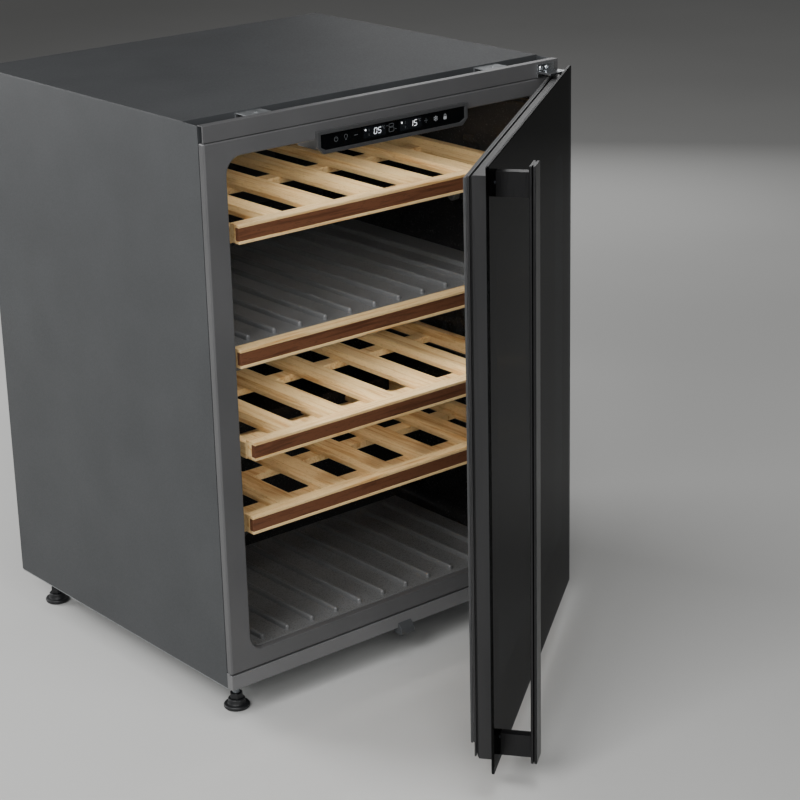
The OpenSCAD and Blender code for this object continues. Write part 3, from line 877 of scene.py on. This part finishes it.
def add_piece(
    name: str,
    shape: Shape,
    finish: Finish,
    body: str,
    mount: Mount = Mount.CABINET,
    stands_for: Iterable[str] = (),
    width: float = 0.0,
    segments: int = 2,
    smooth: float = 35.0,
) -> bpy.types.Object:
    """Turns a shape into a piece that rides on a body.

    Args:
        name: The piece's name.
        shape: Its mesh, which is used up.
        finish: Its finish.
        body: The CAD body that it moves with.
        mount: The frame that it was drawn in.
        stands_for: CAD nodes that it replaces.
        width: Width of the edge rounding in millimetres.
        segments: Lengths across the rounding.
        smooth: Largest angle in degrees between faces that still shade as one.

    Returns:
        The new object.
    """
    matrix = PLACE.door if mount is Mount.DOOR else PLACE.cabinet
    shape.mesh.transform(matrix)
    bmesh.ops.recalc_face_normals(shape.mesh, faces=shape.mesh.faces[:])
    data = bpy.data.meshes.new(name)
    shape.mesh.to_mesh(data)
    shape.mesh.free()
    data.polygons.foreach_set("use_smooth", [True] * len(data.polygons))
    data.set_sharp_from_angle(angle=math.radians(smooth))
    data.materials.append(finish.material())
    obj = bpy.data.objects.new(name, data)
    bpy.context.scene.collection.objects.link(obj)
    soften(obj, width, segments)
    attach(obj, body)
    if stands_for:
        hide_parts(*stands_for)
    log.info("%s: rides on %s in %s", name, body, finish.name)
    return obj


# ---- sub-assemblies ----


@dataclass
class Shell:
    """Steel cabinet: side panels, top, back, base, feet and the foam inside the walls."""

    back_y: float = 545.0
    vent_reach: int = 5
    vent_pitch: float = 40.0
    vent_half: float = 12.9
    vent_z: Flat = (796.1, 799.9)
    foot_x: float = 262.0
    foot_y: Flat = (45.0, 510.0)
    hexagon_r: float = 9.5
    hexagon_z: Flat = (14.0, 22.0)
    threads: int = 25
    pitch: float = 1.5
    thread: Sequence[Flat] = ((4.3, 0.0), (5.0, 0.55), (5.0, 0.85), (4.3, 1.4))
    pad: Sequence[Flat] = (
        (16.4, 0.0), (17.6, 1.2), (18.0, 2.4), (18.0, 4.6), (17.0, 6.0),
        (13.0, 6.6), (12.0, 8.0), (11.8, 13.0), (11.0, 14.0), (5.2, 14.0),
    )  # fmt: skip

    def build(self) -> None:
        """Dresses the shell's parts, builds near-black sheets in the back's vent slots as painted shade, and builds the
        feet.
        """
        for node in ("side_panel_left", "side_panel_right", "top_panel"):
            dress(node, BODY_PAINT, 0.4)
        for node in ("back_panel", "base_pan", "worktop_brackets"):
            dress(node, ZINC, 0.3)
        dress("insulation_foam", FOAM)
        # near-black sheets just inside the vent slots paint the slots' shade over the foam behind them
        slot_shades = Shape()
        for i in range(-self.vent_reach, self.vent_reach + 1):
            x = i * self.vent_pitch
            slit = rounded(x - self.vent_half, x + self.vent_half, *self.vent_z, 1.6, 4)
            slot_shades.prism(slit, Axis.Y, self.back_y - 0.75, self.back_y - 0.25)
        add_piece("vent_slot_shade_sheets", slot_shades, VENT_SLOT_SHADE, "cabinet")
        for row, y in zip(("front", "rear"), self.foot_y):
            for side, x in (("left", -self.foot_x), ("right", self.foot_x)):
                self.leveller(f"{row}_{side}", x, y)

    def leveller(self, place: str, x: float, y: float) -> None:
        """Builds a levelling foot: a moulded pad, a hexagon and a threaded stud.

        Args:
            place: Which corner it stands at.
            x, y: Its centre in millimetres.
        """
        body, at = f"{place}_foot", (x, y, 0)
        pad = Shape().lathe(self.pad, at, Axis.Z)
        hexagon = Shape().prism(circle(x, y, self.hexagon_r, 6), Axis.Z, *self.hexagon_z)
        bottom = self.hexagon_z[1]
        turns = [(r, bottom + self.pitch * k + up) for k in range(self.threads) for r, up in self.thread]
        stud = Shape().lathe(turns, at, Axis.Z, 24)
        add_piece(f"{body}_pad", pad, BLACK_ABS, body, stands_for=[f"foot_{place}"])
        add_piece(f"{body}_hexagon", hexagon, BLACK_ABS, body, width=0.8)
        add_piece(f"{body}_stud", stud, STEEL, body)


@dataclass
class Front:
    """Painted front: the frame round the opening, the trim over it and the kick strip."""

    edge: float = 2.4
    fine_edge: float = 0.8

    def build(self) -> None:
        """Dresses the front's parts."""
        dress("front_frame", FRONT_PAINT, self.edge, 5)
        dress("top_trim", FRONT_PAINT, self.fine_edge)
        # the kick strip's paint is the front grey painted lighter, as painted light
        dress("kick_strip", KICK_PAINT_LIGHTENED, self.fine_edge)
        dress("door_stop_block", STOP, self.fine_edge)


@dataclass
class ControlPanel:
    """Touch panel over the opening, with two temperature displays and seven touch marks."""

    glass_y: float = -4.0
    raised: float = 0.12
    middle_z: float = 770.4
    displays: Sequence[tuple[float, str]] = ((-31.1, "05"), (29.9, "15"))
    window: Point = (20.0, 17.0, 7.5)
    digit_w: float = 4.4
    digit_h: float = 7.4
    first_digit: float = -2.6
    digit_pitch: float = 6.7
    digit_gap: float = 0.35
    digit_stroke: float = 0.644
    slant: float = 0.14
    unit_x: float = 11.5
    dot: Flat = (-16.5, 3.4)
    dot_r: float = 0.6
    bar_x: Flat = (-11.6, -9.8)
    bar_rows: Sequence[float] = (-4.2, -2.6, 1.8, 3.6)
    power_x: float = -96.1
    lamp_x: float = -80.0
    minus_x: float = -63.5
    plus_x: float = 54.9
    flake_x: float = 71.7
    lock_x: float = 88.0
    arm: float = 3.2
    hair: float = 0.4
    thin: float = 0.55
    bold: float = 0.6

    def build(self) -> None:
        """Dresses the panel's parts and adds the displays and the marks."""
        dress("control_bezel", BEZEL, 0.6, 3)
        dress("control_glass", TOUCH_GLASS, 0.2)
        dress("control_board", BOARD)
        screens, bright, digits, faint = Shape(), Shape(), Shape(), Shape()
        z, (dot_x, dot_z) = self.middle_z, self.dot
        left, right, up = self.window
        for x, text in self.displays:
            window = rounded(x - left, x + right, z - up, z + up, 1.0)
            screens.prism(window, Axis.Y, self.glass_y - 0.05, self.glass_y)
            for place, digit in enumerate(text):
                self.digit(digits, x + self.first_digit + place * self.digit_pitch, digit)
            self.degrees(faint, x + self.unit_x)
            self.line(digits, circle(x + dot_x, z + dot_z, self.dot_r, 10), 2 * self.dot_r, True)
            for row in self.bar_rows:
                self.line(faint, [(x + end, z + row) for end in self.bar_x], 0.5)
        self.dim_marks(faint)
        self.lit_marks(bright)
        for name, shape, finish in (
            ("display_windows", screens, SCREEN),
            ("display_digits", digits, DIGIT),
            ("touch_marks_bright", bright, ICON),
            ("touch_marks_faint", faint, FAINT_ICON),
        ):
            add_piece(name, shape, finish, "cabinet")

    def line(self, shape: Shape, line: Sequence[Flat], width: float, closed: bool = False) -> None:
        """Adds one raised stroke on the panel's glass."""
        shape.ribbon(line, width, self.glass_y - self.raised, self.glass_y - 0.03, closed)

    def digit(self, shape: Shape, left: float, digit: str) -> None:
        """Adds a slanted seven-segment digit.

        Args:
            shape: The shape that gets the segments.
            left: The digit's left edge.
            digit: "0", "1" or "5".
        """
        w, h, gap = self.digit_w, self.digit_h, self.digit_gap
        segments = {
            "a": ((0, h), (w, h)),
            "b": ((w, h), (w, h / 2)),
            "c": ((w, h / 2), (w, 0)),
            "d": ((0, 0), (w, 0)),
            "e": ((0, h / 2), (0, 0)),
            "f": ((0, h), (0, h / 2)),
            "g": ((0, h / 2), (w, h / 2)),
        }
        for key in {"0": "abcdef", "1": "bc", "5": "afgcd"}[digit]:
            (x0, z0), (x1, z1) = segments[key]
            length = math.hypot(x1 - x0, z1 - z0)
            ux, uz = (x1 - x0) / length, (z1 - z0) / length
            ends = [(x0 + ux * gap, z0 + uz * gap), (x1 - ux * gap, z1 - uz * gap)]
            bottom = self.middle_z - h / 2
            self.line(shape, [(left + x + z * self.slant, bottom + z) for x, z in ends], self.digit_stroke)

    def degrees(self, shape: Shape, left: float) -> None:
        """Adds the small degree ring and the C beside a display."""
        self.line(shape, circle(left, self.middle_z + 4.2, 0.7, 12), self.hair, True)
        self.line(shape, circle(left + 3.2, self.middle_z + 2.6, 1.6, 12, 50, 260), self.thin)

    def dim_marks(self, shape: Shape) -> None:
        """Draws power, lamp, minus, plus and the two zones.

        Args:
            shape: The shape of the dim marks.
        """
        z, arm = self.middle_z, self.arm
        self.line(shape, circle(self.power_x, z - 0.4, 2.8, 22, 120, 300), self.thin)
        self.line(shape, [(self.power_x, z + 0.2), (self.power_x, z + 3.4)], self.thin)
        self.line(shape, circle(self.lamp_x, z + 0.9, 2.5, 20, -60, 300), self.thin)
        for drop in (-2.3, -3.5):
            self.line(shape, [(self.lamp_x - 1.2, z + drop), (self.lamp_x + 1.2, z + drop)], self.thin)
        for x in (self.minus_x, self.plus_x):
            self.line(shape, [(x - arm, z), (x + arm, z)], self.bold)
        self.line(shape, [(self.plus_x, z - arm), (self.plus_x, z + arm)], self.bold)
        for z0, z1 in ((z - 5.2, z + 0.3), (z + 1.5, z + 5.2)):
            self.line(shape, rounded(-8.4, -0.4, z0, z1, 1.0, 3), self.thin, True)
        self.line(shape, [(-13.0, z + 3.4), (-9.6, z + 3.4)], self.thin)
        self.line(shape, [(0.8, z - 2.6), (4.2, z - 2.6)], self.thin)

    def lit_marks(self, shape: Shape) -> None:
        """Draws the fast-cooling flake and the lock.

        Args:
            shape: The shape of the lit marks.
        """
        z = self.middle_z
        for k in range(6):
            a = math.radians(30 + 60 * k)
            root, knee, tip = ((self.flake_x + r * math.cos(a), z + r * math.sin(a)) for r in (0.4, 2.1, 3.6))
            self.line(shape, [root, tip], self.thin)
            for side in (-0.3, 0.3):
                end = (self.flake_x + 3.3 * math.cos(a + side), z + 3.3 * math.sin(a + side))
                self.line(shape, [knee, end], self.hair)
        x = self.lock_x
        case = rounded(x - 2.6, x + 2.6, z - 3.6, z + 0.4, 0.6, 3)
        shape.prism(case, Axis.Y, self.glass_y - self.raised, self.glass_y - 0.03)
        bow = [(x - 1.6, z + 0.4), (x - 1.6, z + 1.8)] + circle(x, z + 1.8, 1.6, 12, 180, -180) + [(x + 1.6, z + 0.4)]
        self.line(shape, bow, self.bold)


@dataclass
class Interior:
    """Liner, floor tray, divider, runners, air ducts, probes and lights."""

    fine_edge: float = 0.4

    def build(self) -> None:
        """Dresses the interior's parts."""
        dress("inner_liner", LINER)
        dress("floor_tray", TRAY, 2.2, 3)
        dress("zone_divider", TRAY, 2.0, 3)
        dress("shelf_runners", BLACK_ABS, 0.5)
        dress("evaporators", FIN_METAL, 0.2)
        for node, finish in (
            ("duct_covers", BLACK_ABS),
            ("fan_frames", BLACK_ABS),
            ("carbon_filter", CHARCOAL),
            ("temperature_probes", TRAY),
            ("light_bars", OPAL),
        ):
            dress(node, finish, self.fine_edge)


@dataclass
class Shelf:
    """A sliding shelf: a beech trim with a walnut inlay and a deck of beech slats."""

    name: str
    sliding: bool = True
    edge: float = 0.8
    inlay_edge: float = 0.4

    def build(self) -> None:
        """Dresses the shelf's parts."""
        dress(f"{self.name}_trim", BEECH, self.edge)
        dress(f"{self.name}_inlay", WALNUT, self.inlay_edge)
        if self.sliding:
            dress(f"{self.name}_deck", BEECH_SLAT, self.edge)


@dataclass
class Impeller:
    """Fan rotor of twisted blades on a cup-shaped hub, drawn round its own axis, which runs along y."""

    name: str
    centre: Point
    radius: float
    hub: float
    depth: float
    blades: int
    sideways: bool = False
    face: float = 1.0
    boss: float = 6.0
    blade_margin: float = 1.5
    blade_steps: int = 6
    root_pitch: float = 46.0
    twist: float = 20.0
    sweep: float = 0.3
    root_t: float = 0.9
    thinning: float = 0.35
    section: Sequence[Flat] = ((-0.5, 0.0), (-0.2, -1.0), (0.25, -0.9), (0.5, 0.0), (0.25, 0.6), (-0.2, 0.5))

    def build(self) -> None:
        """Builds the rotor and turns it to its place."""
        hub, rim = self.hub, self.depth - self.boss
        cup = [(0.4, self.face), (hub * 0.55, self.face), (hub - 1.2, 1.3), (hub, 2.6)]
        cup += [(hub, rim), (hub - 1.5, rim), (2.0, rim), (2.0, self.depth - 1)]
        shape = Shape().lathe(cup, (0, 0, 0), Axis.Y)
        for k in range(self.blades):
            self.blade(shape, math.tau * k / self.blades)
        turn = Matrix.Rotation(math.radians(90 if self.sideways else 0), 4, "Z")
        shape.mesh.transform(Matrix.Translation(self.centre) @ turn)
        fan, rotor = self.name, [f"{self.name}_rotor"]
        add_piece(f"{fan}_impeller", shape, BLACK_ABS, fan, stands_for=rotor, smooth=50)

    def blade(self, shape: Shape, start: float) -> None:
        """Adds a blade that sweeps back and flattens towards its tip.

        Args:
            shape: The shape that gets it.
            start: Angle of its root in radians.
        """
        cup = self.depth - self.boss - self.face
        middle, rings = self.face + cup / 2, []
        for i in range(self.blade_steps + 1):
            t = i / self.blade_steps
            radius = self.hub - 1 + (self.radius - self.hub + 0.4) * t
            pitch = math.radians(self.root_pitch - self.twist * t)
            chord = min(0.8 * self.radius * (0.55 + 0.35 * t), (cup - self.blade_margin) / math.sin(pitch))
            around, thick = start + self.sweep * t, self.root_t - self.thinning * t
            ring = []
            for u, v in self.section:
                across, off = u * chord, v * thick - (0.5 - 2 * u * u) * 0.06 * chord
                turn = around + (across * math.cos(pitch) - off * math.sin(pitch)) / radius
                depth = middle + across * math.sin(pitch) + off * math.cos(pitch)
                ring.append(Vector((radius * math.cos(turn), depth, radius * math.sin(turn))))
            rings.append(ring)
        shape.loft(rings)


@dataclass
class MachineRoom:
    """Compressor, condenser, pipework, fans and drip tray behind the lower bottles."""

    pod: Point = (150.0, 450.0, 0.0)
    pod_profile: Sequence[Flat] = (
        (0.5, 66.0), (30.0, 66.2), (44.0, 69.5), (52.5, 78.0), (56.5, 90.0), (57.6, 104.0), (57.8, 116.5),
        (59.4, 117.2), (59.4, 121.0), (57.6, 121.8), (57.4, 134.0), (56.0, 147.0), (52.0, 161.0),
        (45.0, 173.5), (34.0, 183.0), (20.0, 188.4), (8.0, 189.8), (0.5, 190.0),
    )  # fmt: skip
    base_half: Flat = (84.0, 56.0)
    base_z: Flat = (64.0, 67.0)
    cover_half: float = 24.0
    cover_x: Flat = (-78.0, -48.0)
    cover_z: Flat = (90.0, 140.0)
    clip_half: float = 4.0
    clip_t: float = 1.4
    clip_z: Flat = (96.0, 134.0)
    fin_x: Flat = (-196.0, -136.0)
    fin_y: Flat = (376.0, 524.0)
    fin_z: Flat = (66.0, 220.0)
    fin_gap: float = 4.0
    fin_t: float = 0.35
    coil_r: float = 4.0
    coil_bend: float = 12.4
    coil_x: float = -166.0
    coil_y: Flat = (364.0, 540.0)
    coil_z: float = 80.0
    coil_rise: float = 25.0
    coil_passes: int = 6
    plate_x: Flat = (-200.0, -132.0)
    plate_y: Flat = (370.0, 529.0)
    plate_z: Flat = (60.0, 232.0)
    plate_t: float = 1.5
    pipe_r: float = 3.0
    capillary_r: float = 1.6
    hot_line: Sequence[Point] = (
        (205, 430, 170), (240, 430, 190), (240, 380, 235), (-120, 370, 240),
        (-225, 372, 240), (-225, 372, 205), (-175, 366, 205),
    )  # fmt: skip
    drier_line: Sequence[Point] = ((-225, 400, 80), (-225, 500, 80), (-225, 520, 112))
    capillary: Sequence[Point] = ((-225, 520, 178), (-225, 520, 225), (-190, 490, 245))
    drier: Point = (-225, 520, 0)
    drier_profile: Sequence[Flat] = (
        (3.2, 108.0), (3.6, 113.0), (6.0, 117.0), (9.0, 121.0), (9.2, 150.0),
        (9.0, 170.0), (6.0, 175.0), (2.6, 179.0), (2.2, 183.0),
    )  # fmt: skip

    def build(self) -> None:
        """Builds the cooling circuit and the fans, and dresses the rest."""
        self.compressor()
        self.condenser()
        self.pipes()
        dress("compressor_mounts", MOUNT_RUBBER, 0.6)
        dress("drip_tray", BLACK_ABS, 1.2, 3)
        dress("power_inlet", BLACK_ABS, 0.5)
        for fan in (
            Impeller("upper_fan", (-60, 470, 652), 40.8, 15, 18, 7),
            Impeller("lower_fan", (-60, 470, 400), 40.8, 15, 18, 7),
            Impeller("condenser_fan", (-78, 450, 142), 63.7, 22, 24, 5, True),
        ):
            fan.build()

    def compressor(self) -> None:
        """Builds the hermetic pod of two pressed shells with their weld, its base and its terminal cover."""
        x, y, _ = self.pod
        dx, dy = self.base_half
        half, thin = self.cover_half, self.clip_half
        cover_x = [x + reach for reach in self.cover_x]
        clip_line = [(cover_x[0] - 1, z) for z in self.clip_z]
        pod = Shape().lathe(self.pod_profile, self.pod, Axis.Z, 64)
        base = Shape().prism(rounded(x - dx, x + dx, y - dy, y + dy, 14), Axis.Z, *self.base_z)
        cover = Shape().prism(rounded(y - half, y + half, *self.cover_z, 6), Axis.X, *cover_x)
        clip = Shape().ribbon(clip_line, self.clip_t, y - thin, y + thin)
        add_piece("compressor_pod", pod, ENAMEL, "cabinet", stands_for=["compressor"], smooth=40)
        add_piece("compressor_base_plate", base, ZINC, "cabinet", width=0.6)
        add_piece("compressor_terminal_cover", cover, BLACK_ABS, "cabinet", width=2.5, segments=3)
        add_piece("terminal_cover_clip", clip, STEEL, "cabinet", width=0.3)

    def condenser(self) -> None:
        """Builds the finned coil: thin fins pressed on a serpentine tube between two end plates."""
        fins, (y, last) = Shape(), self.fin_y
        while y < last:
            fins.prism(rounded(*self.fin_x, *self.fin_z, 2, 2), Axis.Y, y, y + self.fin_t)
            y += self.fin_gap
        path = []
        for i in range(self.coil_passes):
            ends = self.coil_y if i % 2 == 0 else self.coil_y[::-1]
            path += [(self.coil_x, end, self.coil_z + i * self.coil_rise) for end in ends]
        coil = Shape().tube(path, self.coil_r, 14, self.coil_bend)
        plates = Shape()
        for start in self.plate_y:
            plates.prism(rounded(*self.plate_x, *self.plate_z, 3), Axis.Y, start, start + self.plate_t)
        add_piece("condenser_fins", fins, FIN_METAL, "cabinet", stands_for=["condenser"])
        add_piece("condenser_tube", coil, COPPER, "cabinet", smooth=60)
        add_piece("condenser_end_plates", plates, ZINC, "cabinet", width=0.4)

    def pipes(self) -> None:
        """Builds the bent copper lines and the filter drier with its spun ends."""
        lines = Shape()
        lines.tube(self.hot_line, self.pipe_r, 14, 16)
        lines.tube(self.drier_line, self.pipe_r, 14, 14)
        lines.tube(self.capillary, self.capillary_r, 10, 14)
        drier = Shape().lathe(self.drier_profile, self.drier, Axis.Z)
        pipework = ["refrigerant_pipework"]
        add_piece("refrigerant_lines", lines, COPPER, "cabinet", stands_for=pipework, smooth=60)
        add_piece("filter_drier", drier, COPPER, "cabinet")


@dataclass
class Door:
    """Double-glazed door: printed front glass, anodised frame, spacer, inner glass and gasket."""

    half: float = 297.0
    z0: float = 39.0
    z1: float = 812.0
    front: float = -32.0
    back: float = -28.0
    print_t: float = 0.3
    print_inset: float = 1.2
    side_border: float = 54.0
    top_border: float = 107.0
    bottom_border: float = 100.0
    window_r: float = 22.0
    gasket_half: float = 288.0
    gasket_z: Flat = (76.0, 796.5)
    # Pairs of a distance inwards from the gasket's outer edge and a depth behind the door.
    gasket_profile: Sequence[Flat] = (
        (2.0, -6.5), (2.0, -5.6), (1.0, -5.2), (0.4, -4.7), (1.3, -4.1), (0.2, -3.5),
        (0.0, -1.3), (0.5, -0.5), (1.4, -0.3), (10.6, -0.3), (11.5, -0.5), (12.0, -1.3),
        (11.8, -3.5), (10.7, -4.1), (11.6, -4.7), (11.0, -5.2), (10.0, -5.6), (10.0, -6.5),
    )  # fmt: skip

    def build(self) -> None:
        """Builds the glass, its print and the gasket, and dresses the rest."""
        self.pane()
        self.gasket()
        dress("door_frame", DOOR_METAL, 0.8, 3)
        dress("glass_spacer", FIN_METAL)
        dress("door_inner_glass", REAR_GLASS)

    def pane(self) -> None:
        """Builds the front pane with its ground edges, and the black border behind it."""
        half, inset, behind = self.half, self.print_inset, self.back - self.print_t
        side = half - self.side_border
        pane = Shape().box(-half, half, self.front, behind, self.z0, self.z1)
        outer = rounded(-half + inset, half - inset, self.z0 + inset, self.z1 - inset, 0.5)
        inner = rounded(-side, side, self.z0 + self.bottom_border, self.z1 - self.top_border, self.window_r)
        border = Shape().plate(outer, inner, behind + 0.01, self.back)
        add_piece("front_pane", pane, FRONT_GLASS, "door", Mount.DOOR, ["door_glass"], 0.9)
        add_piece("pane_printed_border", border, PRINT, "door", Mount.DOOR)

    def gasket(self) -> None:
        """Builds the magnetic gasket: a clip foot, a pleat on each side and the bulb that holds the magnet."""
        rings, (low, high) = [], self.gasket_z
        for sx, sz in ((1, 1), (-1, 1), (-1, -1), (1, -1)):
            edge_z = high if sz > 0 else low
            rings.append([Vector((sx * (self.gasket_half - u), y, edge_z - sz * u)) for u, y in self.gasket_profile])
        seal, node = Shape().loft(rings, loop=True), ["door_gasket"]
        add_piece("magnetic_gasket", seal, GASKET, "door", Mount.DOOR, node, smooth=50)


@dataclass
class Handle:
    """Full-height grip of two flat bars on two blocks."""

    edge: float = 0.7
    screw_edge: float = 0.2

    def build(self) -> None:
        """Dresses the handle's parts."""
        dress("handle_bar", HANDLE_METAL, self.edge, 3)
        dress("handle_blocks", HANDLE_METAL, self.edge, 3)
        dress("handle_screws", STEEL, self.screw_edge)


@dataclass
class Hinges:
    """Pin hinges at the door's upper and lower right corners."""

    screw_x: Flat = (264.0, 275.0)
    screw_z: Flat = (810.0, 65.0)
    dome: Sequence[Flat] = (
        (2.0, 0.0), (2.0, -2.5), (3.2, -2.5), (3.2, -3.3), (2.7, -4.0),
        (1.6, -4.3), (1.4, -4.2), (1.3, -3.2), (0.2, -3.0),
    )  # fmt: skip

    def build(self) -> None:
        """Dresses the hinge parts and builds their domed screw heads, with round sockets and shanks."""
        dress("hinge_brackets", HINGE_STEEL, 0.6, 3)
        dress("hinge_pins", HINGE_STEEL, 0.4)
        dress("hinge_bushes", BLACK_ABS, 0.3)
        heads = Shape()
        for z in self.screw_z:
            for x in self.screw_x:
                heads.lathe(self.dome, (x, 0.0, z), Axis.Y, 20)
        slot, screws = "galvanised_steel", ["hinge_screws"]
        add_piece("hinge_screw_heads", heads, HINGE_STEEL, "cabinet", stands_for=screws, smooth=30)


# ---- stage ----


@dataclass(frozen=True)
class StudioFloor(Finish):
    """Matt pale vinyl floor of a studio."""

    colour: str = "#cfcfcd"
    shade: str = "#c9c9c7"
    cloud: float = 900.0

    def surface(self, tree: Tree) -> Surface:
        """Almost even, with very slow clouds.

        Args:
            tree: The material's node tree.

        Returns:
            The shader's fixed values and its linked inputs.
        """
        cloud = grain(tree, Pattern.CLOUD, self.cloud, Detail=2.0)
        tone = blend_colours(tree, cloud, [(LOW, self.shade), (HIGH, self.colour)])
        return {"Roughness": 0.9}, {"Base Color": tone}


@dataclass
class Studio:
    """Floor, soft lights and the camera; its lengths are in metres."""

    floor_half: float = 30.0
    sky: str = "#e4e4e4"
    sky_strength: float = 0.12
    eye: Point = (-1.7752, -2.1679, 1.3947)
    yaw: float = 50.654
    pitch: float = -19.702
    roll: float = -1.405
    lens: float = 98.29
    sensor: float = 36.0
    clip: Flat = (0.05, 200.0)
    # Each light's name, place, target, side and power in watts.
    lights: Sequence[tuple[str, Point, Point, float, float]] = (
        ("key_light", (-2.3, -1.1, 1.9), (0.0, 0.0, 0.4), 1.3, 54.0),
        ("front_light", (-1.3, -2.1, 1.4), (-0.1, 0.0, 0.4), 0.9, 18.0),
        ("top_light", (-0.25, -0.75, 1.9), (-0.1, -0.4, 0.0), 0.6, 9.0),
        ("back_light", (-1.1, 2.3, 1.4), (0.0, 0.2, 0.35), 1.4, 58.0),
        ("side_light", (2.2, 1.9, 1.1), (0.3, 0.2, 0.4), 1.2, 8.0),
    )

    def build(self) -> None:
        """Adds the floor, the lights and the camera."""
        self.floor()
        self.world()
        for light in self.lights:
            self.light(*light)
        self.camera()

    def floor(self) -> None:
        """Adds the pale floor."""
        size = self.floor_half
        data = bpy.data.meshes.new("studio_floor")
        data.from_pydata([(-size, -size, 0), (size, -size, 0), (size, size, 0), (-size, size, 0)], [], [(0, 1, 2, 3)])
        data.materials.append(StudioFloor("studio_floor_vinyl").material())
        obj = bpy.data.objects.new("studio_floor", data)
        bpy.context.scene.collection.objects.link(obj)

    def world(self) -> None:
        """Fills the studio with even soft light."""
        world = bpy.data.worlds.new("studio")
        bpy.context.scene.world = world
        world.use_nodes = True
        world.node_tree.nodes.clear()
        sky = {"Color": srgb(self.sky), "Strength": self.sky_strength}
        shader = add_node(world.node_tree, "ShaderNodeBackground", sky)
        add_node(world.node_tree, "ShaderNodeOutputWorld", links={"Surface": shader.outputs[0]})

    def light(self, name: str, place: Point, target: Point, size: float, power: float) -> None:
        """Adds a soft square light.

        Args:
            name: The light's name.
            place: Where it stands, in metres.
            target: The point that it faces.
            size: Its side in metres.
            power: Its power in watts.
        """
        data = bpy.data.lights.new(name, "AREA")
        data.shape, data.size, data.energy = "SQUARE", size, power
        obj = bpy.data.objects.new(name, data)
        obj.location = place
        obj.rotation_euler = (Vector(target) - Vector(place)).to_track_quat("-Z", "Y").to_euler()
        bpy.context.scene.collection.objects.link(obj)

    def camera(self) -> None:
        """Adds the camera, to the left of the open door and a little above the cabinet."""
        data = bpy.data.cameras.new("camera")
        data.lens, data.sensor_width = self.lens, self.sensor
        data.clip_start, data.clip_end = self.clip
        obj = bpy.data.objects.new("camera", data)
        yaw, pitch = math.radians(self.yaw), math.radians(self.pitch)
        along = Vector((math.cos(pitch) * math.cos(yaw), math.cos(pitch) * math.sin(yaw), math.sin(pitch)))
        turn = along.to_track_quat("-Z", "Y").to_matrix().to_4x4() @ Matrix.Rotation(math.radians(self.roll), 4, "Z")
        front = PLACE.cabinet.translation
        obj.matrix_world = Matrix.Translation(Vector(self.eye) + front) @ turn
        bpy.context.scene.collection.objects.link(obj)
        bpy.context.scene.camera = obj


def main() -> None:
    """Builds the cooler and its studio."""
    logging.basicConfig(level=logging.INFO, format="%(message)s")
    parts = [
        Shell(),
        Front(),
        ControlPanel(),
        Interior(),
        Shelf("upper_shelf"),
        Shelf("middle_shelf"),
        Shelf("lower_shelf"),
        Shelf("divider", sliding=False),
        MachineRoom(),
        Door(),
        Handle(),
        Hinges(),
        Studio(),
    ]
    for part in parts:
        part.build()
        log.info("built %s", type(part).__name__)


if __name__ == "__main__":
    main()
